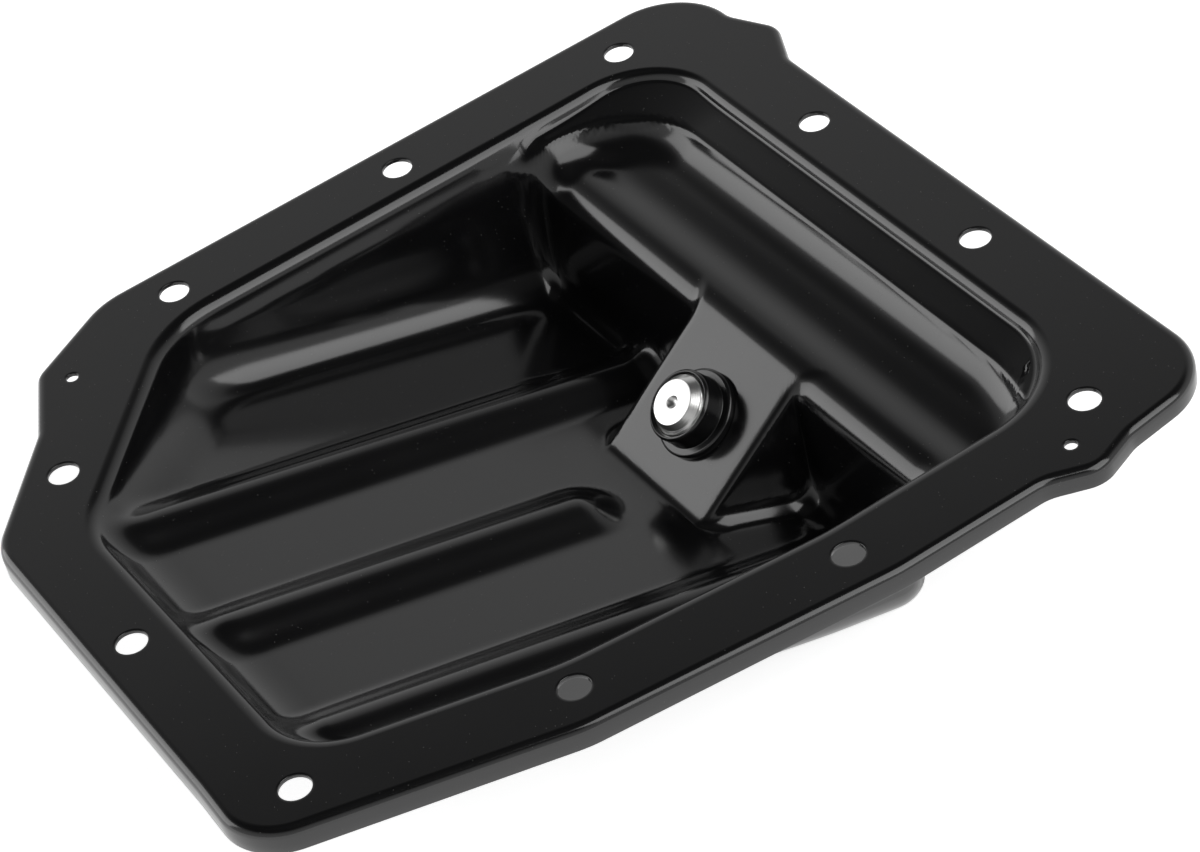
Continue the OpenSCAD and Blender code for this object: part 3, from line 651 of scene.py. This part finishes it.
drain_ids = add_points(drain_points, ramp_normal)
patch_ids = np.concatenate([gap_loop, drain_ids])
skin_faces.extend(patch_ids[drain_faces].tolist())
print("cells opened for the drain:", int(open_cells.sum()), "patch faces:", len(drain_faces))


# %% [markdown]
# Where the deep end's step runs into the far rim, the strips of the wall and the net squeeze
# together. A sculptor would brush such a knot smooth; here the same is done by rule: every point
# near it moves to the middle of its neighbours, then goes back to the exact depth of the sheet.

# %% Evening the mesh where the step runs into the far rim
KNOT_AT, KNOT_REACH = np.array([shelf_x - 5.0, rim_far - 7.0, -8.0]), 17.0
KNOT_PASSES, KNOT_GIVE, KNOT_BELOW, RIM_KEPT = 150, 0.5, 0.05, 0.01
upper = np.vstack(skin_points)
normals = np.vstack(skin_normals)
reach = np.linalg.norm(upper - KNOT_AT, axis=1) / KNOT_REACH
loose = np.flatnonzero((reach < 1) & (upper[:, 2] < -KNOT_BELOW))
give = KNOT_GIVE * (1 - reach[loose, None] ** 2) ** 2
place_of = np.full(len(upper), -1)
place_of[loose] = np.arange(len(loose))
threads_of = np.array([(a, b) for face in skin_faces for a, b in zip(face, face[1:] + face[:1])])
threads_of = threads_of[place_of[threads_of[:, 0]] >= 0]
first, second = place_of[threads_of[:, 0]], threads_of[:, 1]
neighbours = np.bincount(first)[:, None]
for _ in range(KNOT_PASSES):
    middle = np.zeros((len(loose), 3))
    np.add.at(middle, first, upper[second])
    moved = upper[loose] + give * (middle / neighbours - upper[loose])
    x, y = moved[:, 0], np.minimum(moved[:, 1], rim_far - RIM_KEPT)
    on_rim = np.column_stack([x, 0 * x + rim_far, 0 * x, 0 * x - 1])
    upper[loose], normals[loose] = wall_points(on_rim, rim_far - y)
print("points evened at the far corner:", len(loose))


# %% [markdown]
# Blender's Solidify modifier could give the sheet its thickness, but on tight bends it folds over.
# The second skin is made here from the exact normals of the first, and a small rounded edge closes
# the pair at the lip and in each hole. A count of open edges proves that the sheet is closed.

# %% Two skins and their rounded edges become the sheet
def rounded_edge(upper, lower, bulge, radius, turns=(30, 60, 90)):
    across = unit(lower - upper)
    turns = np.radians(turns)
    first = [upper + radius * (across * (1 - math.cos(a)) + bulge * math.sin(a)) for a in turns]
    last = [lower + radius * (bulge * math.sin(a) - across * (1 - math.cos(a))) for a in turns[::-1]]
    return first + last


lower = upper - normals * SHEET_T
upper_count = len(upper)
all_faces = skin_faces + [[v + upper_count for v in face[::-1]] for face in skin_faces]
skin_faces = []
skin_points = [upper, lower]


def close_edge(ids, bulge, outward):
    rings = rounded_edge(upper[ids], lower[ids], bulge, EDGE_R)
    chain = [ids] + [add_points(ring, UP) for ring in rings] + [ids + upper_count]
    for one, two in zip(chain, chain[1:]):
        band(*((two, one) if outward else (one, two)))


skin_normals = [normals, -normals]
close_edge(lip_ids[-1], -UP, True)
for ids in hole_ids:
    middle = upper[ids].mean(0)
    close_edge(ids, unit(middle - upper[ids]), False)
close_edge(drain_ids, unit(drain_at - upper[drain_ids]), False)
all_faces += skin_faces
sheet_mesh = bpy.data.meshes.new("oil_pan_sheet")
sheet_mesh.from_pydata((np.vstack(skin_points) * MM).tolist(), [], all_faces)
sheet_mesh.shade_smooth()
sheet = bpy.data.objects.new("oil_pan_sheet", sheet_mesh)
scene.collection.objects.link(sheet)


def mesh_facts(obj):
    work = bmesh.new()
    work.from_mesh(obj.data)
    open_edges = sum(not edge.is_manifold for edge in work.edges)
    volume = work.calc_volume(signed=True) / MM**3
    triangles = sum(len(face.verts) - 2 for face in work.faces)
    work.free()
    print(f"{obj.name}: {triangles} triangles, {open_edges} open edges, {volume:.0f} mm3")


mesh_facts(sheet)

# %% [markdown]
# Node trees are written by hand below. A small helper keeps them readable: it adds a node with its
# settings, fills inputs with a value or a link, and does sums.

# %% A helper for node trees
class Nodes:
    def __init__(self, tree):
        self.tree = tree

    def add(self, kind, inputs=None, **settings):
        node = self.tree.nodes.new(kind)
        for key, value in settings.items():
            setattr(node, key, value)
        self.fill(node, inputs or {})
        return node

    def fill(self, node, inputs):
        for key, value in inputs.items():
            if isinstance(value, bpy.types.NodeSocket):
                self.tree.links.new(value, node.inputs[key])
            else:
                node.inputs[key].default_value = value

    def math(self, operation, a, b=0.0):
        return self.add("ShaderNodeMath", {0: a, 1: b}, operation=operation).outputs[0]


drain_frame = Matrix.Translation(Vector(drain_at) * MM) @ Matrix.Rotation(-ramp_turn, 4, "Y")
print("the drain's axis leans by", round(math.degrees(ramp_turn), 1), "degrees")

# %% [markdown]
# Finishes. The pan and its nut are steel dipped in one gloss black paint, which lies in a faint
# ripple and has caught a little dust. The plug is zinc plated and the washer is bare aluminium, and
# both keep the rings of the lathe. Ripple, dust and turning rings are each a shader node group with
# its own inputs, so two materials can share one effect at different strengths. All patterns read
# Object coordinates, because they don't slide when the piece moves.

# %% Shader groups for ripple, dust and turning rings
GRAIN_R, RIPPLE_DETAIL = 0.22, 1.5


def shader_group(name, inputs, output):
    group = bpy.data.node_groups.new(name, "ShaderNodeTree")
    for socket_name, value in inputs.items():
        kind = "NodeSocketVector" if value is None else "NodeSocketFloat"
        socket = group.interface.new_socket(socket_name, in_out="INPUT", socket_type=kind)
        if value is not None:
            socket.default_value = value
    group.interface.new_socket(output, in_out="OUTPUT", socket_type="NodeSocketFloat")
    n = Nodes(group)
    return group, n, n.add("NodeGroupInput").outputs, n.add("NodeGroupOutput")


ripple, n, given, result = shader_group("paint_ripple", {"Vector": None, "Size": 1500.0}, "Height")
waves = n.add("ShaderNodeTexNoise", {
    "Vector": given["Vector"], "Scale": given["Size"], "Detail": RIPPLE_DETAIL})
n.fill(result, {"Height": waves.outputs["Fac"]})

dust, n, given, result = shader_group(
    "dust", {"Vector": None, "Size": 2400.0, "Share": 0.02, "Strength": 1.0}, "Mask")
grains = n.add("ShaderNodeTexVoronoi", {"Vector": given["Vector"], "Scale": given["Size"]})
chosen = n.add("ShaderNodeSeparateColor", {0: grains.outputs["Color"]})
is_grain = n.math("LESS_THAN", chosen.outputs[0], given["Share"])
in_grain = n.math("LESS_THAN", grains.outputs["Distance"], GRAIN_R)
grain = n.math("MULTIPLY", n.math("MULTIPLY", is_grain, in_grain), given["Strength"])
n.fill(result, {"Mask": grain})

rings, n, given, result = shader_group("turning_rings", {"Vector": None, "Pitch": 0.00025}, "Height")
across = n.add("ShaderNodeSeparateXYZ", {0: given["Vector"]}).outputs
squares = [n.math("MULTIPLY", across[k], across[k]) for k in (0, 1)]
from_axis = n.math("SQRT", n.math("ADD", *squares))
groove = n.math("SINE", n.math("MULTIPLY", n.math("DIVIDE", from_axis, given["Pitch"]), 2 * math.pi))
n.fill(result, {"Height": groove})
print("shader groups:", [group.name for group in bpy.data.node_groups])

# %% Paint, zinc and aluminium
PAINT_BLACK, DUST_COLOUR = (0.0045, 0.0045, 0.0048), (0.09, 0.088, 0.085)
PAINT_IOR, DUST_ROUGHNESS, CLOUDING, CLOUD_SIZE = 1.6, 0.5, 0.06, 60.0
BUMP_DISTANCE, RIPPLE_STRENGTH, RING_STRENGTH = 0.00001, 0.15, 0.3


def material_nodes(name):
    material = bpy.data.materials.new(name)
    material.use_nodes = True
    n = Nodes(material.node_tree)
    shader = material.node_tree.nodes["Principled BSDF"]
    return material, n, shader, n.add("ShaderNodeTexCoord").outputs["Object"]


def placed(n, group, vector, **values):
    return n.add("ShaderNodeGroup", {"Vector": vector} | values, node_tree=group).outputs[0]


def bumped(n, shader, height, strength):
    bump = n.add("ShaderNodeBump", {"Height": height, "Distance": BUMP_DISTANCE, "Strength": strength})
    n.fill(shader, {"Normal": bump.outputs[0]})


def black_paint(name, gloss, dust_share):
    material, n, shader, at = material_nodes(name)
    speck = placed(n, dust, at, Share=dust_share)
    colour = n.add("ShaderNodeMix", {"Factor": speck, "A": (*PAINT_BLACK, 1), "B": (*DUST_COLOUR, 1)},
                   data_type="RGBA")
    cloud = n.math("MULTIPLY", placed(n, ripple, at, Size=CLOUD_SIZE), CLOUDING)
    uneven = n.math("ADD", n.math("MULTIPLY", speck, DUST_ROUGHNESS), cloud)
    rough = n.math("ADD", uneven, gloss - CLOUDING / 2)
    n.fill(shader, {"Base Color": colour.outputs["Result"], "Roughness": rough, "IOR": PAINT_IOR})
    bumped(n, shader, placed(n, ripple, at), RIPPLE_STRENGTH)
    return material


def turned_metal(name, tint, roughness, pitch):
    material, n, shader, at = material_nodes(name)
    n.fill(shader, {"Base Color": (*tint, 1), "Metallic": 1, "Roughness": roughness})
    on_axis = n.add("ShaderNodeMapping", {
        "Vector": at, "Location": drain_frame.to_translation(), "Rotation": drain_frame.to_euler()},
        vector_type="TEXTURE")
    bumped(n, shader, placed(n, rings, on_axis.outputs[0], Pitch=pitch), RING_STRENGTH)
    return material


sheet_paint = black_paint("black_paint", 0.15, 0.012)
nut_paint = black_paint("nut_paint", 0.2, 0.004)
zinc = turned_metal("plug_zinc", (0.76, 0.76, 0.75), 0.3, 0.00035)
washer_aluminium = turned_metal("washer_aluminium", (0.75, 0.75, 0.76), 0.35, 0.0002)
print("materials:", [material.name for material in bpy.data.materials])

# %% [markdown]
# The drain group sits square on the ramp: a weld nut with a collar inside, the plug that is screwed
# in from below and a soft washer under its head. All three are turned on a lathe. A Screw modifier
# would turn a profile too, but the plug also has a thread and a hexagon, so one Geometry Nodes tree
# does what the lathe and the mill do: it turns the profile, cuts the thread into the blank and mills
# the flats. Each piece is that tree with its own profile and sizes.

# %% Sizes of the nut, the plug and the washer
NUT_BASE_R, NUT_BASE_H, NUT_COLLAR_R, NUT_H, NUT_BORE_R = 10.35, 1.9, 8.35, 7.3, 7.0
NUT_CHAMFER, NUT_BASE_CHAMFER_H, NUT_BORE_CHAMFER = 0.5, 0.4, 0.6
PLUG_THREAD_R, PLUG_PITCH, PLUG_THREAD_DEPTH, THREAD_RUNOUT = 6.95, 1.5, 0.92, 0.3
PLUG_END_R, PLUG_END_OUT, CENTRE_HOLE_R = 5.3, 1.8, 1.5
PLUG_COLLAR_R, PLUG_COLLAR_H, PLUG_HEX, PLUG_HEX_H = 12.0, 2.0, 19.0, 7.0
HEX_CHAMFER_R, HEX_CHAMFER_H, FLATS_SHORT = 0.1, 0.8, 0.2
WASHER_R, WASHER_BORE_R, WASHER_T = 11.0, 7.1, 1.5
NUT_SOFT_R, PLUG_SOFT_R, WASHER_SOFT_R = 0.2, 0.15, 0.3
HEX_ROW, THREAD_ROW, ROWS_SHORT = 0.1, 0.125, 0.2
plug_end = NUT_H + PLUG_END_OUT
seat = -SHEET_T - WASHER_T
hex_top, hex_low = seat - PLUG_COLLAR_H, seat - PLUG_COLLAR_H - PLUG_HEX_H
print("plug from", round(hex_low, 2), "to", round(plug_end, 2), "mm along the drain's axis")

# %% Profiles: points [radius, height] with softened corners
ON_AXIS, LEAST_CUT, CUT_SHARE = 1e-6, 1e-3, 0.45


def softened(profile, radius, steps=3):
    points = [np.array(p, float) for p in profile]
    out = []
    for k, at in enumerate(points):
        before, after = points[k - 1], points[(k + 1) % len(points)]
        back, ahead = before - at, after - at
        cut = min(radius, CUT_SHARE * min(np.linalg.norm(back), np.linalg.norm(ahead)))
        if at[0] < ON_AXIS or cut < LEAST_CUT:
            out.append(at)
            continue
        start, end = at + unit(back) * cut, at + unit(ahead) * cut
        for t in np.linspace(0, 1, steps + 1):
            out.append((1 - t) ** 2 * start + 2 * t * (1 - t) * at + t**2 * end)
    return np.array(out)


def with_rows(profile, low, high, gap):
    out = [profile[0]]
    for a, b in zip(profile[:-1], profile[1:]):
        dense = min(a[1], b[1]) > low - 1e-6 and max(a[1], b[1]) < high + 1e-6
        count = max(1, math.ceil(abs(b[1] - a[1]) / gap)) if dense else 1
        out += [a + (b - a) * m / count for m in range(1, count + 1)]
    return np.array(out)


def closed(profile):
    return np.vstack([profile, profile[:1]])


nut_profile = closed(softened([
    (NUT_BORE_R, 0), (NUT_BASE_R, 0), (NUT_BASE_R, NUT_BASE_H - NUT_BASE_CHAMFER_H),
    (NUT_BASE_R - NUT_CHAMFER, NUT_BASE_H), (NUT_COLLAR_R, NUT_BASE_H),
    (NUT_COLLAR_R, NUT_H - NUT_CHAMFER), (NUT_COLLAR_R - NUT_CHAMFER, NUT_H),
    (NUT_BORE_R + NUT_BORE_CHAMFER, NUT_H), (NUT_BORE_R, NUT_H - NUT_BORE_CHAMFER)], NUT_SOFT_R))
hex_corner_r = PLUG_HEX / 2 / math.cos(math.radians(30))
blank = softened([
    (0, hex_low), (PLUG_HEX / 2 - HEX_CHAMFER_R, hex_low), (hex_corner_r, hex_low + HEX_CHAMFER_H),
    (hex_corner_r, hex_top), (PLUG_COLLAR_R, hex_top), (PLUG_COLLAR_R, seat), (PLUG_THREAD_R, seat),
    (PLUG_THREAD_R, plug_end - PLUG_THREAD_R + PLUG_END_R), (PLUG_END_R, plug_end),
    (CENTRE_HOLE_R, plug_end), (0, plug_end - CENTRE_HOLE_R)], PLUG_SOFT_R)
plug_profile = with_rows(blank, hex_low, hex_low + HEX_CHAMFER_H, HEX_ROW)
plug_profile = with_rows(plug_profile, seat, plug_end - ROWS_SHORT, THREAD_ROW)
washer_profile = closed(softened([
    (WASHER_BORE_R, seat), (WASHER_R, seat), (WASHER_R, seat + WASHER_T),
    (WASHER_BORE_R, seat + WASHER_T)], WASHER_SOFT_R))
print("profile points:", len(nut_profile), len(plug_profile), len(washer_profile))

# %% The lathe, first the part that turns a profile
lathe = bpy.data.node_groups.new("lathe", "GeometryNodeTree")
lathe.interface.new_socket("Profile", in_out="INPUT", socket_type="NodeSocketGeometry")
lathe_sizes = ("Thread Pitch", "Thread Depth", "Thread Crest Radius", "Thread From", "Thread To",
               "Across Flats", "Flats Below")
for socket_name in lathe_sizes:
    lathe.interface.new_socket(socket_name, in_out="INPUT", socket_type="NodeSocketFloat")
lathe.interface.new_socket("Segments", in_out="INPUT", socket_type="NodeSocketInt")
lathe.interface.new_socket("Material", in_out="INPUT", socket_type="NodeSocketMaterial")
lathe.interface.new_socket("Turned Piece", in_out="OUTPUT", socket_type="NodeSocketGeometry")
n = Nodes(lathe)
given = n.add("NodeGroupInput").outputs
row_count = n.add("GeometryNodeAttributeDomainSize", {"Geometry": given["Profile"]}).outputs["Point Count"]
grid = n.add("GeometryNodeMeshGrid", {
    "Vertices X": n.math("ADD", given["Segments"], 1), "Vertices Y": row_count})
index = n.add("GeometryNodeInputIndex").outputs[0]
row = n.math("FLOORED_MODULO", index, row_count)
spoke = n.math("FLOOR", n.math("DIVIDE", n.math("ADD", index, 0.5), row_count))
turn = n.math("DIVIDE", spoke, given["Segments"])
angle = n.math("MULTIPLY", turn, 2 * math.pi)
place = n.add("GeometryNodeInputPosition").outputs[0]
sample = n.add("GeometryNodeSampleIndex", {"Geometry": given["Profile"], "Value": place, "Index": row},
               data_type="FLOAT_VECTOR")
profile_at = n.add("ShaderNodeSeparateXYZ", {0: sample.outputs["Value"]}).outputs
radius, height = profile_at["X"], profile_at["Z"]
print("nodes that turn a profile:", len(lathe.nodes))

# %% The thread is a groove that climbs one pitch a turn, cut only where the blank is thicker
climb = n.math("FRACT", n.math("SUBTRACT", n.math("DIVIDE", height, given["Thread Pitch"]), turn))
from_crest = n.math("ABSOLUTE", n.math("SUBTRACT", n.math("MULTIPLY", climb, 2), 1))
cut = n.math("MULTIPLY", n.math("SUBTRACT", 1, from_crest), given["Thread Depth"])
above = n.math("GREATER_THAN", height, given["Thread From"])
below = n.math("LESS_THAN", height, given["Thread To"])
in_thread = n.math("MULTIPLY", above, below)
groove_r = n.math("SUBTRACT", given["Thread Crest Radius"], cut)
blank_or_groove = n.math("MINIMUM", radius, groove_r)
threaded = n.add("GeometryNodeSwitch", {
    "Switch": in_thread, "False": radius, "True": blank_or_groove}, input_type="FLOAT").outputs[0]
print("with the thread:", len(lathe.nodes))

# %% The flats: each turn is folded into one sixth before the radius is cut back
MERGE_DISTANCE = 1e-6
sixth = n.math("SUBTRACT", n.math("FRACT", n.math("MULTIPLY", turn, 6)), 0.5)
flat_r = n.math("DIVIDE", n.math("DIVIDE", given["Across Flats"], 2),
                n.math("COSINE", n.math("MULTIPLY", sixth, math.pi / 3)))
on_flats = n.math("LESS_THAN", height, given["Flats Below"])
milled = n.add("GeometryNodeSwitch", {
    "Switch": on_flats, "False": threaded, "True": n.math("MINIMUM", threaded, flat_r)},
    input_type="FLOAT").outputs[0]
point = n.add("ShaderNodeCombineXYZ", {
    "X": n.math("MULTIPLY", milled, n.math("COSINE", angle)),
    "Y": n.math("MULTIPLY", milled, n.math("SINE", angle)), "Z": height})
moved = n.add("GeometryNodeSetPosition", {"Geometry": grid.outputs["Mesh"], "Position": point.outputs[0]})
merged = n.add("GeometryNodeMergeByDistance", {"Geometry": moved.outputs[0], "Distance": MERGE_DISTANCE})
smooth = n.add("GeometryNodeSetShadeSmooth", {"Geometry": merged.outputs[0]})
real = n.add("GeometryNodeRealizeInstances", {"Geometry": smooth.outputs[0]})
coated = n.add("GeometryNodeSetMaterial", {"Geometry": real.outputs[0], "Material": given["Material"]})
n.add("NodeGroupOutput", {0: coated.outputs[0]})
print("lathe tree:", len(lathe.nodes), "nodes")

# %% [markdown]
# The tree is now used three times. Each profile is a mesh of one line, and the tree's result is
# copied to a plain mesh, because the export keeps meshes and not modifiers. The piece is then set
# into the ramp by one matrix, and its own object stays at the origin.

# %% Turning the three pieces
LATHE_SEGMENTS, SHARP_DEGREES = 96, 40


def turned(name, profile, material, sizes=None):
    mesh = bpy.data.meshes.new(name + "_profile")
    line = [(r * MM, 0, z * MM) for r, z in profile]
    mesh.from_pydata(line, [(k, k + 1) for k in range(len(line) - 1)], [])
    carrier = bpy.data.objects.new(name + "_profile", mesh)
    scene.collection.objects.link(carrier)
    modifier = carrier.modifiers.new("lathe", "NODES")
    modifier.node_group = lathe
    wanted = {"Thread Pitch": 1.0, "Across Flats": 1.0, "Flats Below": -1.0, "Thread From": 1.0}
    wanted |= {key: value * MM for key, value in (sizes or {}).items()}
    wanted |= {"Segments": LATHE_SEGMENTS, "Material": material}
    for item in lathe.interface.items_tree:
        if item.in_out == "INPUT" and item.name in wanted:
            modifier[item.identifier] = wanted[item.name]
    evaluated = carrier.evaluated_get(bpy.context.evaluated_depsgraph_get())
    plain = bpy.data.meshes.new_from_object(evaluated)
    plain.name = name
    bpy.data.objects.remove(carrier)
    work = bmesh.new()
    work.from_mesh(plain)
    bmesh.ops.recalc_face_normals(work, faces=work.faces)
    work.to_mesh(plain)
    work.free()
    plain.transform(drain_frame)
    plain.set_sharp_from_angle(angle=math.radians(SHARP_DEGREES))
    piece = bpy.data.objects.new(name, plain)
    scene.collection.objects.link(piece)
    mesh_facts(piece)
    return piece


nut = turned("drain_nut_turned", nut_profile, nut_paint)
plug = turned("drain_plug_turned", plug_profile, zinc, {
    "Thread Pitch": PLUG_PITCH, "Thread Depth": PLUG_THREAD_DEPTH, "Thread Crest Radius": PLUG_THREAD_R,
    "Thread From": seat + THREAD_RUNOUT, "Thread To": plug_end - THREAD_RUNOUT,
    "Across Flats": PLUG_HEX, "Flats Below": hex_top - FLATS_SHORT})
washer = turned("drain_washer_turned", washer_profile, washer_aluminium)
sheet.data.materials.append(sheet_paint)

# %% [markdown]
# The pan is shown on white paper. The floor is one pale sheet that takes the pan's shadow. To read
# as white without more light on the pan, it glows only for rays that come from the camera or from
# a glossy surface: the Light Path node tells them apart.

# %% The white floor
FLOOR_GLOW, FLOOR_HALF, FLOOR_GAP = 0.75, 3.0, 0.0005
PAPER_GREY, PAPER_ROUGHNESS, PAPER_SPECULAR = 0.9, 0.9, 0.1
floor_z = cad_box[0][2] - FLOOR_GAP
floor_signs = ((-1, -1), (1, -1), (1, 1), (-1, 1))
floor_corners = [(x * FLOOR_HALF, y * FLOOR_HALF, floor_z) for x, y in floor_signs]
floor_mesh = bpy.data.meshes.new("floor")
floor_mesh.from_pydata(floor_corners, [], [(0, 1, 2, 3)])
floor = bpy.data.objects.new("floor", floor_mesh)
scene.collection.objects.link(floor)
white_paper, n, shader, _ = material_nodes("white_paper")
ray = n.add("ShaderNodeLightPath").outputs
seen = n.math("MAXIMUM", ray["Is Camera Ray"], ray["Is Glossy Ray"])
n.fill(shader, {
    "Base Color": (PAPER_GREY, PAPER_GREY, PAPER_GREY, 1), "Roughness": PAPER_ROUGHNESS,
    "Specular IOR Level": PAPER_SPECULAR, "Emission Color": (1, 1, 1, 1),
    "Emission Strength": n.math("MULTIPLY", seen, FLOOR_GLOW)})
floor_mesh.materials.append(white_paper)
print("floor at", round(floor_z / MM, 2), "mm")

# %% [markdown]
# Gloss black shows almost nothing but reflections, so the room matters more than the paint. In the
# photograph surfaces that mirror the ceiling are nearly black and those that mirror the walls are
# grey. The world is therefore bright at the horizon and dark overhead, by a curve over the height
# of the ray. The camera itself sees plain white.

# %% The room around the pan
WALL_LEVELS = ((0.0, 0.75), (1.0, 0.05), (0.41, 0.6), (0.63, 0.34), (0.72, 0.07))
world = bpy.data.worlds.new("studio")
scene.world = world
world.use_nodes = True
n = Nodes(world.node_tree)
ray_height = n.add("ShaderNodeSeparateXYZ", {"Vector": n.add("ShaderNodeTexCoord").outputs["Generated"]})
walls = n.add("ShaderNodeFloatCurve", {"Value": ray_height.outputs["Z"]})
curve = walls.mapping.curves[0]
for k, (z, radiance) in enumerate(WALL_LEVELS):
    if k < 2:
        curve.points[k].location = (z, radiance)
    else:
        curve.points.new(z, radiance)
walls.mapping.update()
level = n.add("ShaderNodeMix", {
    "Factor": n.add("ShaderNodeLightPath").outputs["Is Camera Ray"], "A": walls.outputs["Value"],
    "B": 1.0}, data_type="FLOAT")
n.fill(world.node_tree.nodes["Background"], {"Color": (1, 1, 1, 1), "Strength": level.outputs["Result"]})
print("levels of the room:", WALL_LEVELS)

# %% [markdown]
# Two soft boxes draw the long bright bands along the bends: one high at the near right, for the
# bends of the far side, and one low at the far left, for those of the drain end and for the end of
# the plug. A lamp is given here by the brightness it shows in a mirror, because that is what the
# paint shows, and its power follows from its area.

# %% The two lamps
LAMPS_LOOK_AT, LAMP_DISTANCE = Vector((0, 0, -10)) * MM, 1.5


def soft_box(name, azimuth, elevation, size, radiance):
    a, e = math.radians(azimuth), math.radians(elevation)
    data = bpy.data.lights.new(name, "AREA")
    data.shape = "RECTANGLE"
    data.size, data.size_y = size
    data.energy = radiance * math.pi * size[0] * size[1]
    box = bpy.data.objects.new(name, data)
    towards = Vector((math.cos(a) * math.cos(e), math.sin(a) * math.cos(e), math.sin(e)))
    box.location = towards * LAMP_DISTANCE
    box.rotation_euler = (LAMPS_LOOK_AT - box.location).to_track_quat("-Z", "Y").to_euler()
    scene.collection.objects.link(box)
    print(name, "gives", round(data.energy, 1), "W")


soft_box("lamp_near_right", 303, 44.5, (1.2, 1.3), 2.6)
soft_box("lamp_far_left", 134, 18, (1.2, 1.0), 2.0)

# %% [markdown]
# Nothing on the pan moves, so all pieces ride on the root body. Each stands for one solid of the
# CAD model, whose own mesh is hidden.

# %% Riding and replacing
scene.view_settings.view_transform = "Standard"
for piece, node, slot in ((sheet, "pan", "black_paint"), (nut, "drain_nut", "nut_paint"),
                          (plug, "drain_plug", "plug_zinc"), (washer, "drain_gasket", "washer_aluminium")):
    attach(piece, "root")
    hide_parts(node)
